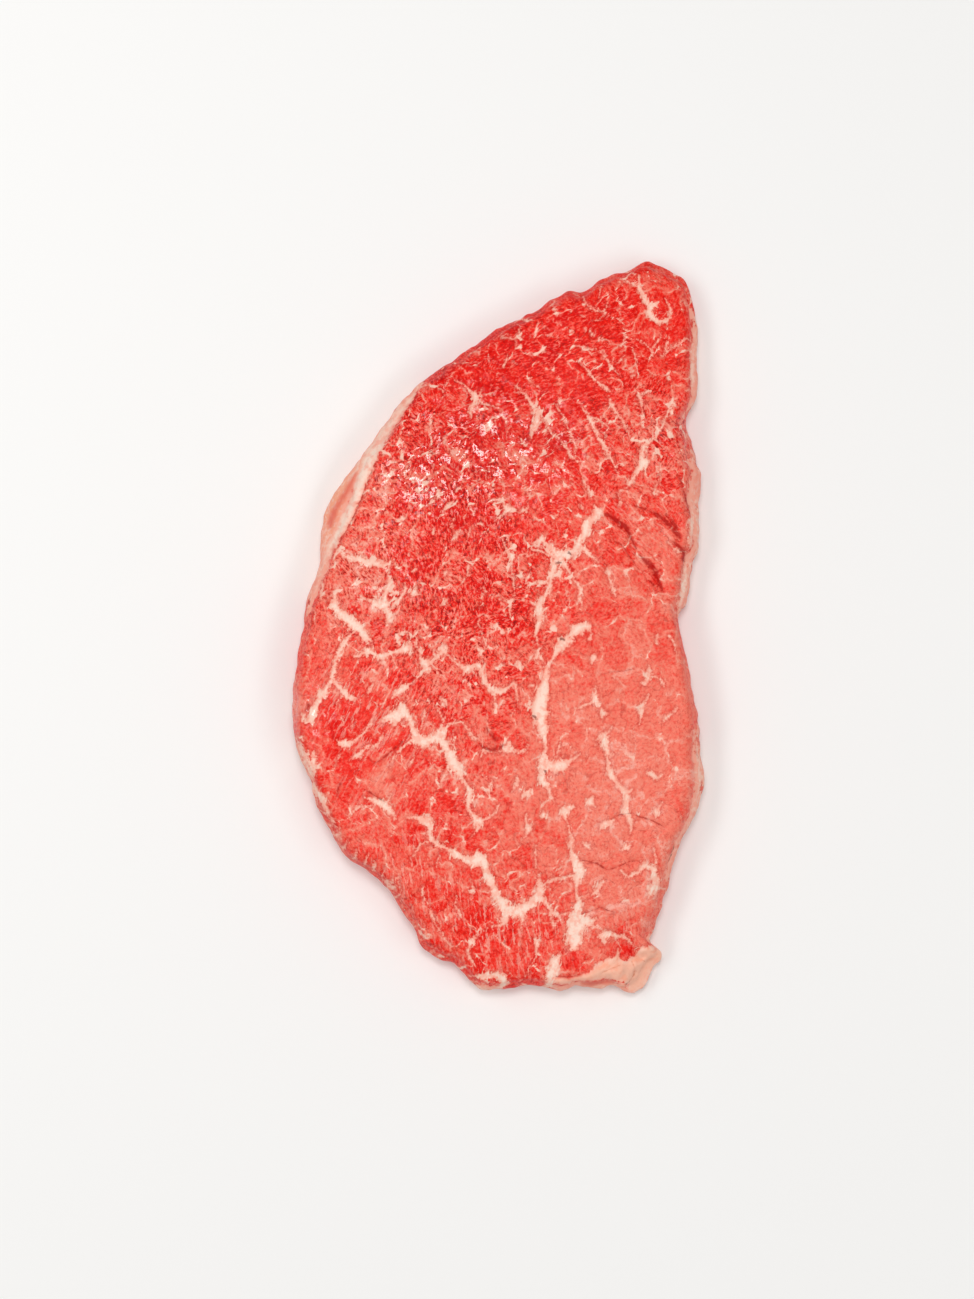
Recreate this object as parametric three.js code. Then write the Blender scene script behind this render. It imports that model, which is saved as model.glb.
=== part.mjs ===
// A raw slice of beef topside, cut across the grain, lying flat on its underside.
// Millimetres, +Z up. The origin is under the middle of the slice, on the plane it lies on.
// +Y runs along the slice to its narrow tip, +X to the straighter side.
import * as THREE from "three";
import { mergeVertices } from "three/addons/utils/BufferGeometryUtils.js";

// Thickness of the slice at its middle.
// It is thinner at the tip, the foot and the straight side.
const THICKNESS = 20.5;
const TIP_THINNING = { from: 35, to: 112, by: 5 };
const FOOT_THINNING = { from: -55, to: -110, by: 4 };
const SIDE_THINNING = { from: 22, to: 62, by: 3 };

// Radius of the cut edge above and of the pressed edge below.
// The wall between them swells and leans out downwards.
const TOP_EDGE_RADIUS = 4.5;
const LOWER_EDGE_RADIUS = 5;
const WALL_SWELL = 1.2;
const WALL_LEAN = 0.8;
// How far the underside would sag below the plane it lies on, if that plane did not press it flat.
const SAG = 1.5;

// The outline seen from above, clockwise from the crown of the tip, in the stretches of its edge.
const TIP = [[44, 110], [52, 107], [57.5, 99]];
const STRAIGHT_SIDE = [
  [59.6, 88], [59, 72], [57.6, 62], [59, 52], [60.4, 44], [60, 32], [59.4, 23], [57.6, 12], [55, 3],
  [56.6, -10], [59, -24], [61.6, -38], [61.2, -47], [58.6, -58], [53.2, -73], [50, -83], [47.3, -91.5],
];
const FAT_TAG = [[48.6, -97.5], [46, -103], [41, -109.6], [36, -107.6]];
const FOOT = [[28, -108], [13, -107.2], [-1, -108.2], [-8, -105.2], [-13, -100.2], [-20.5, -96.8]];
const ROUND_SIDE = [
  [-25, -89], [-30, -80.5], [-38, -72.3], [-47, -66.5], [-53, -56], [-57, -44],
  [-60.6, -33], [-61.4, -22], [-60, -8], [-57.2, 6], [-54.8, 18],
];
const FAT_CAP = [[-53.2, 28], [-50, 40], [-42.5, 50], [-35, 59.5], [-27, 70.2]];
const SHOULDER = [[-16, 79], [-2, 88.3], [10, 95.2], [20, 101.8], [28, 102.3], [37, 106]];
const OUTLINE = [TIP, STRAIGHT_SIDE, FAT_TAG, FOOT, ROUND_SIDE, FAT_CAP, SHOULDER].flat();

// Strips of fat and skin whose wall leans out under the cut face.
// Each has its place on the edge, how far it reaches along it and by how much it leans.
const LEANING_STRIPS = [
  { at: [-48, 41], reach: 21, by: 8.5 },
  { at: [-57, 10], reach: 14, by: 2.5 },
  { at: [60, 84], reach: 12, by: 2 },
  { at: [60.5, 40], reach: 12, by: 2.8 },
  { at: [57, 12], reach: 9, by: 2 },
  { at: [61.5, -44], reach: 11, by: 2.4 },
  { at: [42, -104], reach: 8, by: 2 },
];

// Hollows and swellings of the cut face.
// The fat tag hangs low, and the muscle heads swell either side of the seam.
const FACE_SWELLINGS = [
  { at: [45, -103], reach: 11, by: -4.5 },
  { at: [-28, 28], reach: 34, by: 1.2 },
  { at: [-14, -48], reach: 26, by: 0.9 },
  { at: [36, -28], reach: 24, by: 0.9 },
  { at: [30, 82], reach: 18, by: 0.8 },
  { at: [50, 20], reach: 13, by: -1.4 },
];
// The seams between the muscle heads, shallow valleys down and across the cut face.
const LONG_SEAM = [[30, 37], [17, 22], [12, 0], [13, -24], [14, -44], [22, -64], [23, -92]];
const CROSS_SEAM = [[-50, 6], [-39, -7], [-21, -10], [-6, -12], [2, -19], [12, -24]];
const SLANT_SEAM = [[-31, -26], [-18, -33], [-9, -52], [-6, -69], [2, -83], [13, -79]];
const SEAMS = [
  { along: LONG_SEAM, depth: 1.1, reach: 4.5 },
  { along: CROSS_SEAM, depth: 0.5, reach: 4 },
  { along: SLANT_SEAM, depth: 0.5, reach: 4 },
];
// Unevenness of the cut face, as [length along x, length along y, height].
const FACE_WAVES = [[83, 97, 0.35], [37, 53, 0.2], [23, 29, 0.15]];
// Raggedness of the edge, as [waves round the outline, height].
const EDGE_WAVES = [[19, 0.25], [37, 0.2], [61, 0.15]];

// The medial line that the rings of the mesh close on, from the foot to the tip.
const SPINE = [[9, -42], [-2, 4], [17, 48]];

// Divisions of the mesh across, along and down the slice.
const ACROSS = 38;
const ALONG = 58;
const DOWN = 4;
// Rings crowd towards the edge, to follow its rounding.
const RING_CROWDING = 1.35;
// Where round the outline the first corner of the block falls, as a share of its length before the tip.
const FIRST_CORNER = 0.0935;
// Steps in which the outline's length is measured.
const OUTLINE_STEPS = 1200;

const LEAN_RED = new THREE.Color().setRGB(0.94, 0.36, 0.3, THREE.SRGBColorSpace);

const flatVector = ([x, y]) => new THREE.Vector2(x, y);
const outline = new THREE.CatmullRomCurve3(
  OUTLINE.map(([x, y]) => new THREE.Vector3(x, y, 0)), true, "catmullrom", 0.5);
outline.arcLengthDivisions = OUTLINE_STEPS;
const spine = new THREE.SplineCurve(SPINE.map(flatVector));
const seams = SEAMS.map((seam) => ({ ...seam, chain: seam.along.map(flatVector) }));

const hump = (point, { at, reach, by }) =>
  by * Math.exp(-((point.x - at[0]) ** 2 + (point.y - at[1]) ** 2) / reach ** 2);
const sumOf = (humps, point) => humps.reduce((sum, h) => sum + hump(point, h), 0);
const thinning = (value, { from, to, by }) => {
  const [low, high] = [Math.min(from, to), Math.max(from, to)];
  const share = THREE.MathUtils.smoothstep(value, low, high);
  return by * (from < to ? share : 1 - share);
};

// Distance in the plane from a point to a chain of straight pieces.
function distanceToChain(point, chain) {
  const distances = chain.slice(1).map((end, i) => {
    const run = end.clone().sub(chain[i]);
    const along = point.clone().sub(chain[i]).dot(run) / run.lengthSq();
    const nearest = chain[i].clone().addScaledVector(run, THREE.MathUtils.clamp(along, 0, 1));
    return nearest.distanceTo(point);
  });
  return Math.min(...distances);
}

// Height of the cut face above the resting plane.
function faceHeight(point) {
  const waves = FACE_WAVES.reduce((sum, [lengthX, lengthY, height]) =>
    sum + height * Math.sin(2 * Math.PI * point.x / lengthX) * Math.cos(2 * Math.PI * point.y / lengthY), 0);
  const valleys = seams.reduce((sum, { chain, depth, reach }) =>
    sum + depth * Math.exp(-((distanceToChain(point, chain) / reach) ** 2)), 0);
  return THICKNESS - thinning(point.y, TIP_THINNING) - thinning(point.y, FOOT_THINNING)
    - thinning(point.x, SIDE_THINNING) + sumOf(FACE_SWELLINGS, point) + waves - valleys;
}

// Drop of a rounded edge of this radius at a distance in from it, as a quarter of a circle.
function roundedDrop(distance, radius) {
  const share = 1 - THREE.MathUtils.clamp(distance / radius, 0, 1);
  return radius * (1 - Math.sqrt(1 - share * share));
}

// Share of the way round a block's rim, clockwise from the left end of its far edge.
// The point on the rim lies in the direction (u, v) from a place on the block's middle line.
function shareOfRim(u, v, middle, halfAcross, halfAlong) {
  const [x, y] = [u * halfAcross, middle + v * halfAcross];
  const onEnd = Math.abs(v) >= Math.abs(u);
  const farEnd = halfAcross + x;
  const rightSide = 2 * halfAcross + halfAlong - y;
  const nearEnd = 3 * halfAcross + 2 * halfAlong - x;
  const leftSide = 4 * halfAcross + 3 * halfAlong + y;
  const run = onEnd ? (v > 0 ? farEnd : nearEnd) : (u > 0 ? rightSide : leftSide);
  return run / (4 * (halfAcross + halfAlong));
}

// Moves a point of the plain block to its place on the slice. Rings of the block become rings of the slice:
// each point lies on a line from the spine to the outline, as far along it as its ring is in the block.
function placeOnSlice(point) {
  const [halfAcross, halfAlong] = [ACROSS / 2, ALONG / 2];
  const reach = halfAlong - halfAcross;
  const middle = THREE.MathUtils.clamp(point.y, -reach, reach);
  const toward = new THREE.Vector2(point.x, point.y - middle);
  const ring = Math.max(Math.abs(toward.x), Math.abs(toward.y)) / halfAcross;
  toward.divideScalar(Math.max(ring, 1e-6) * halfAcross);
  const share = shareOfRim(toward.x, toward.y, middle, halfAcross, halfAlong);
  const core = spine.getPoint((middle / reach + 1) / 2);
  const rim = flatVector(outline.getPointAt((share - FIRST_CORNER + 1) % 1).toArray());
  const outward = rim.clone().sub(core).normalize();
  const ragged = EDGE_WAVES.reduce((sum, [count, height], i) =>
    sum + height * Math.sin(2 * Math.PI * count * share + i), 0);
  rim.addScaledVector(outward, ragged);

  const up = point.z + 0.5;
  const lean = (WALL_LEAN + sumOf(LEANING_STRIPS, rim)) * up * up;
  const swell = WALL_SWELL * (4 * up * (1 - up) - 1);
  const edge = rim.clone().addScaledVector(outward, swell - lean);
  const crowded = 1 - (1 - ring) ** RING_CROWDING;
  const flat = core.clone().lerp(edge, crowded);
  const fromEdge = flat.distanceTo(edge);

  const top = faceHeight(flat) - roundedDrop(fromEdge, TOP_EDGE_RADIUS);
  const low = Math.max(0, roundedDrop(fromEdge, LOWER_EDGE_RADIUS) - SAG);
  point.set(flat.x, flat.y, THREE.MathUtils.lerp(low, top, up));
}

function sliceGeometry() {
  const block = new THREE.BoxGeometry(ACROSS, ALONG, 1, ACROSS, ALONG, DOWN);
  const places = block.attributes.position;
  const point = new THREE.Vector3();
  for (let i = 0; i < places.count; i++) {
    placeOnSlice(point.fromBufferAttribute(places, i));
    places.setXYZ(i, point.x, point.y, point.z);
  }
  block.deleteAttribute("normal");
  block.deleteAttribute("uv");
  const skin = mergeVertices(block, 1e-3);
  skin.computeVertexNormals();
  return skin;
}

const slice = new THREE.Mesh(
  sliceGeometry(),
  new THREE.MeshStandardMaterial({ color: LEAN_RED, roughness: 0.35, metalness: 0 }),
);
slice.name = "topside_slice";

const topside = new THREE.Group();
topside.add(slice);
export default topside;
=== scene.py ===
import math

import bpy
import numpy as np
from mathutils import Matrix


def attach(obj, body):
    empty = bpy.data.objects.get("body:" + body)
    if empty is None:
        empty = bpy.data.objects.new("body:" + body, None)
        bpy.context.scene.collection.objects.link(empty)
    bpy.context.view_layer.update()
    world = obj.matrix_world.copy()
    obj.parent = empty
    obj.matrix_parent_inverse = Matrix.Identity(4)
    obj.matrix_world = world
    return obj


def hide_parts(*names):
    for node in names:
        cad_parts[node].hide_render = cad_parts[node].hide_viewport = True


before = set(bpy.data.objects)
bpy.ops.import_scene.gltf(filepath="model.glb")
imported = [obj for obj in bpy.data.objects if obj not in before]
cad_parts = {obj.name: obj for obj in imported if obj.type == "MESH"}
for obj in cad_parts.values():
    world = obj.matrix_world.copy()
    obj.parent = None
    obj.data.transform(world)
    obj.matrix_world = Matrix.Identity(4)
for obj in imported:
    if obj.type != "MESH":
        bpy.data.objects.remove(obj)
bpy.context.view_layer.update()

# The slice's form. One slice of raw beef topside, cut across the grain with a long knife: a flat underside,
# a nearly flat cut face, and a wall of lean and fat round the edge.
# Sizes are in millimetres here, and the mesh is in metres.
MM = 0.001
THICKNESS = 20.5
# Each thinning runs from one place to another, by so much.
TIP_THINNING = (35, 112, 5)
FOOT_THINNING = (-55, -110, 4)
SIDE_THINNING = (22, 62, 3)
TOP_EDGE_RADIUS = 4.5
LOWER_EDGE_RADIUS = 5
WALL_SWELL = 1.2
WALL_LEAN = 0.8
SAG = 1.5

# The outline from above, clockwise from the crown of the tip, in the stretches of its edge.
TIP = [(44, 110.2), (50, 109.4), (55.4, 106), (58.3, 100.6)]
STRAIGHT_SIDE = [
    (60.1, 94), (60.2, 86), (59.8, 75), (59.2, 69), (56.6, 63), (58, 56), (59.2, 50), (61, 45.5), (60.8, 38),
    (60.8, 30), (60, 24), (58.5, 19), (58.1, 12), (57, 8), (54.2, 3), (55.4, -5), (57.1, -11), (58.8, -20),
    (59.8, -29), (61.4, -38), (61.5, -46), (59.8, -52), (57.8, -58.5), (54.8, -64.5), (51.8, -73), (49.8, -80.5),
    (47.7, -87.5), (45.4, -92),
]
FAT_TAG = [
    (45.5, -94), (47.2, -95.5), (49.1, -97.4), (48.6, -99.6), (46.6, -101.6), (45.4, -104), (43.6, -107),
    (40.6, -109.4), (38, -109), (36, -107.8),
]
FOOT = [
    (33.5, -107.4), (28.5, -108.1), (24, -107), (19.5, -107.8), (14, -107.2), (6, -107.5), (-1, -108.4), (-5, -107.7),
    (-8.3, -105.4), (-10.5, -103), (-13.3, -100.5), (-17.2, -99.2), (-21, -97),
]
ROUND_SIDE = [
    (-23.4, -94.2), (-25, -90.5), (-26.8, -87), (-30.8, -81), (-36.2, -75), (-39.5, -72), (-44.8, -69.2),
    (-48.6, -63.5),
    (-52.2, -57), (-55, -51.5), (-56.6, -45), (-59.2, -39), (-60.6, -33), (-61.5, -26), (-61.4, -19), (-60.6, -13),
    (-60, -8), (-59, -2), (-58.2, 3), (-57.5, 9), (-56.2, 14.5), (-53.8, 20.5),
]
FAT_CAP = [(-53.9, 28), (-53, 34), (-51, 39), (-46.6, 45), (-42.4, 51), (-37.4, 58.4), (-32.8, 64), (-26.3, 71)]
SHOULDER = [
    (-17, 79.2), (-2.4, 88.6), (7.6, 93.4), (12, 96.6), (18.6, 101), (21.4, 102.3), (25.7, 101.6), (28.2, 103),
    (30.6, 105.4), (34.5, 106.8), (39, 108),
]
OUTLINE = np.array(TIP + STRAIGHT_SIDE + FAT_TAG + FOOT + ROUND_SIDE + FAT_CAP + SHOULDER, float)
SPINE = np.array([(0, -62), (-2, 4), (17, 48)], float)
FIRST_CORNER = 0.0935

# Humps are x, y, reach and height. Strips of fat lean out under the cut face, and the face swells and sinks.
LEANING_STRIPS = [
    (-50.5, 35, 12.5, 5.8), (-36, 57, 13, 2.2), (-57, 10, 12, 1.0), (60, 84, 12, 1.6), (60.5, 40, 12, 2.4),
    (57, 12, 9, 1.8), (61.5, -44, 11, 1.8), (42, -104, 8, 2),
]
FACE_SWELLINGS = [
    (45, -103, 11, -4.5), (-28, 28, 34, 1.2), (-14, -48, 26, 0.9),
    (36, -28, 24, 0.9), (30, 82, 18, 0.8), (50, 20, 13, -1.4),
]
# Shallow valleys along the seams between the muscle heads: chain, depth and reach.
VALLEYS = [
    ([(30, 37), (17, 22), (12, 0), (13, -24), (14, -44), (22, -64), (23, -92)], 1.1, 4.5),
    ([(-50, 6), (-39, -7), (-21, -10), (-6, -12), (2, -19), (12, -24)], 0.5, 4),
    ([(-31, -26), (-18, -33), (-9, -52), (-6, -69), (2, -83), (13, -79)], 0.5, 4),
]
FACE_WAVES = [(83, 97, 0.35), (37, 53, 0.2), (23, 29, 0.15)]
EDGE_RIPPLES = [(26, 0.3), (11, 0.16), (5, 0.09)]


def spline(before, start, end, after, t):
    """One piece of a Catmull-Rom curve: from start to end, with tangents along the chords of their neighbours."""
    square = 2 * before - 5 * start + 4 * end - after
    cube = 3 * start - before - 3 * end + after
    return 0.5 * (2 * start + (end - before) * t + square * t**2 + cube * t**3)


STEPS_A_KNOT = 16
knot = np.repeat(np.arange(len(OUTLINE)), STEPS_A_KNOT)
along_piece = np.tile(np.arange(STEPS_A_KNOT) / STEPS_A_KNOT, len(OUTLINE))[:, None]
rim_curve = spline(*(OUTLINE[(knot + k) % len(OUTLINE)] for k in (-1, 0, 1, 2)), along_piece)
rim_curve = np.vstack([rim_curve, rim_curve[:1]])
rim_run = np.concatenate([[0], np.cumsum(np.linalg.norm(np.diff(rim_curve, axis=0), axis=1))])


def outline_at(share):
    """The point of the outline at a share of its length, clockwise from the crown of the tip."""
    run = (share % 1) * rim_run[-1]
    return np.stack([np.interp(run, rim_run, rim_curve[:, k]) for k in (0, 1)], axis=-1)


def spine_at(share):
    """The point of the medial line at a share of the way from the foot to the tip."""
    piece = np.clip((share * 2).astype(int), 0, 1)
    neighbours = (SPINE[np.clip(piece + k, 0, 2)] for k in (-1, 0, 1, 2))
    return spline(*neighbours, (share * 2 - piece)[:, None])


def humps(points, places):
    """Sum of bell-shaped humps over the plane."""
    total = np.zeros(len(points))
    for x, y, reach, height in places:
        total += height * np.exp(-((points[:, 0] - x) ** 2 + (points[:, 1] - y) ** 2) / reach**2)
    return total


def smooth(value, low, high):
    """0 at low, 1 at high and a smooth S between them. low may be the larger."""
    t = np.clip((value - low) / (high - low), 0, 1)
    return t * t * (3 - 2 * t)


def ripples(points, length, seed, waves=9):
    """Smooth unevenness of about unit height: plane waves of nearly one length in seeded directions."""
    rng = np.random.default_rng(seed)
    heading = rng.normal(size=(points.shape[1], waves))
    heading *= 2 * math.pi / (length * rng.uniform(0.7, 1.5, waves) * np.linalg.norm(heading, axis=0))
    return np.sin(points @ heading + rng.uniform(0, 2 * math.pi, waves)).sum(axis=1) * math.sqrt(2 / waves)


def nearest_on_chains(points, chains):
    """For every point, the stroke that it lies deepest in or nearest to. Each chain is a list of x, y and width.
    Gives the way from the point to that stroke's middle line, the stroke's width there, and the gap to its edge."""
    offset = np.full((len(points), 2), 1e3)
    width = np.zeros(len(points))
    gap = np.full(len(points), 1e3)
    for chain in chains:
        knots = np.array(chain, float)
        for start, end in zip(knots[:-1], knots[1:]):
            run = end[:2] - start[:2]
            along = np.clip((points - start[:2]) @ run / max(run @ run, 1e-9), 0, 1)
            way = start[:2] + along[:, None] * run - points
            wide = start[2] + along * (end[2] - start[2])
            edge = np.hypot(way[:, 0], way[:, 1]) - wide / 2
            closer = edge < gap
            offset[closer], width[closer], gap[closer] = way[closer], wide[closer], edge[closer]
    return offset, width, gap


def face_height(points):
    """Height of the cut face: the thickness, less what it thins towards tip, foot and side, with swellings,
    waves and the valleys along the seams."""
    height = THICKNESS + humps(points, FACE_SWELLINGS)
    for axis, (low, high, by) in ((1, TIP_THINNING), (1, FOOT_THINNING), (0, SIDE_THINNING)):
        height -= by * smooth(points[:, axis], low, high)
    for length_x, length_y, wave in FACE_WAVES:
        height += wave * np.sin(2 * math.pi * points[:, 0] / length_x) * np.cos(2 * math.pi * points[:, 1] / length_y)
    for chain, depth, reach in VALLEYS:
        gap = nearest_on_chains(points, [[(x, y, 0) for x, y in chain]])[2]
        height -= depth * np.exp(-((gap / reach) ** 2))
    return height


def rounded_drop(distance, radius):
    """Drop of a rounded edge at a distance in from it: a quarter of a circle."""
    share = 1 - np.clip(distance / radius, 0, 1)
    return radius * (1 - np.sqrt(1 - share**2))


# The mesh is a block of rings, each carried from the medial line to the outline: a fine grid for the cut face,
# rows down the wall, and a grid half as fine for the underside.
ACROSS, ALONG, DOWN = 200, 300, 14
RING_CROWDING = 1.1


def block_places(across, along):
    """The grid points of a block of so many cells, in cells of the fine grid: ring from 0 on the middle line to 1
    on the rim, share of the way round the rim clockwise from its far left corner, and place on the middle line."""
    half_x, half_y = ACROSS / 2, ALONG / 2
    grid = np.meshgrid(np.linspace(-half_x, half_x, across + 1), np.linspace(-half_y, half_y, along + 1), indexing="ij")
    x, y = (axis.ravel() for axis in grid)
    reach = half_y - half_x
    middle = np.clip(y, -reach, reach)
    ring = np.maximum(np.abs(x), np.abs(y - middle)) / half_x
    u, v = x / np.maximum(ring, 1e-6), (y - middle) / np.maximum(ring, 1e-6)
    on_end = np.abs(v) >= np.abs(u)
    ends = np.where(v > 0, half_x + u, 3 * half_x + 2 * half_y - u)
    sides = np.where(u > 0, 2 * half_x + half_y - middle - v, 4 * half_x + 3 * half_y + middle + v)
    share = np.where(on_end, ends, sides) / (4 * (half_x + half_y))
    return ring, share, (middle / reach + 1) / 2


def place_on_slice(ring, share, middle, up):
    """Points of the slice. up is 1 on the cut face, 0 on the underside and between them on the wall.
    Gives the places and each one's distance in from the edge of its face."""
    core = spine_at(middle)
    rim = outline_at(share - FIRST_CORNER)
    outward = rim - core
    outward /= np.linalg.norm(outward, axis=1)[:, None]
    ragged = sum(height * ripples(rim, length, i) for i, (length, height) in enumerate(EDGE_RIPPLES))
    rim = rim + outward * ragged[:, None]
    lean = (WALL_LEAN + humps(rim, LEANING_STRIPS)) * up**2
    swell = WALL_SWELL * (4 * up * (1 - up) - 1)
    edge = rim + outward * (swell - lean)[:, None]
    crowded = 1 - np.clip(1 - ring, 0, 1) ** RING_CROWDING
    flat = core + (edge - core) * crowded[:, None]
    from_edge = np.linalg.norm(flat - edge, axis=1)
    top = face_height(flat) - rounded_drop(from_edge, TOP_EDGE_RADIUS)
    low = np.maximum(0, rounded_drop(from_edge, LOWER_EDGE_RADIUS) - SAG)
    return np.column_stack([flat, low + (top - low) * up]), from_edge


def rim_loop(across, along):
    """Numbers of a grid's rim points, clockwise from the far left corner."""
    number = np.arange((across + 1) * (along + 1)).reshape(across + 1, along + 1)
    return np.concatenate([number[:-1, -1], number[-1, :0:-1], number[:0:-1, 0], number[0, :-1]])


def grid_quads(across, along):
    """Faces of a grid, facing up."""
    number = np.arange((across + 1) * (along + 1)).reshape(across + 1, along + 1)
    corners = number[:-1, :-1], number[1:, :-1], number[1:, 1:], number[:-1, 1:]
    return np.stack([corner.ravel() for corner in corners], axis=1)


top_ring, top_share, top_middle = block_places(ACROSS, ALONG)
low_ring, low_share, low_middle = block_places(ACROSS // 2, ALONG // 2)
top_rim, low_rim = rim_loop(ACROSS, ALONG), rim_loop(ACROSS // 2, ALONG // 2)
rows = np.arange(DOWN - 1, 0, -1) / DOWN
wall_up = np.repeat(rows, len(top_rim))
ring = np.concatenate([top_ring, np.ones(len(wall_up)), low_ring])
share = np.concatenate([top_share, np.tile(top_share[top_rim], len(rows)), low_share])
middle = np.concatenate([top_middle, np.tile(top_middle[top_rim], len(rows)), low_middle])
up = np.concatenate([np.ones(len(top_ring)), wall_up, np.zeros(len(low_ring))])
places, from_edge = place_on_slice(ring, share, middle, up)
on_top, on_low = up == 1, up == 0

wall_loops = [top_rim] + [len(top_ring) + k * len(top_rim) + np.arange(len(top_rim)) for k in range(len(rows))]
low_numbers = len(top_ring) + len(wall_up)
quads = [grid_quads(ACROSS, ALONG), grid_quads(ACROSS // 2, ALONG // 2)[:, ::-1] + low_numbers]
for upper, lower in zip(wall_loops[:-1], wall_loops[1:]):
    quads.append(np.stack([upper, np.roll(upper, -1), np.roll(lower, -1), lower], axis=1))
quads = np.concatenate(quads)
fine, halfway, coarse = wall_loops[-1][::2], wall_loops[-1][1::2], low_rim + low_numbers
triangles = np.concatenate([
    np.stack([fine, halfway, coarse], axis=1),
    np.stack([halfway, np.roll(coarse, -1), coarse], axis=1),
    np.stack([halfway, np.roll(fine, -1), np.roll(coarse, -1)], axis=1),
])

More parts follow.
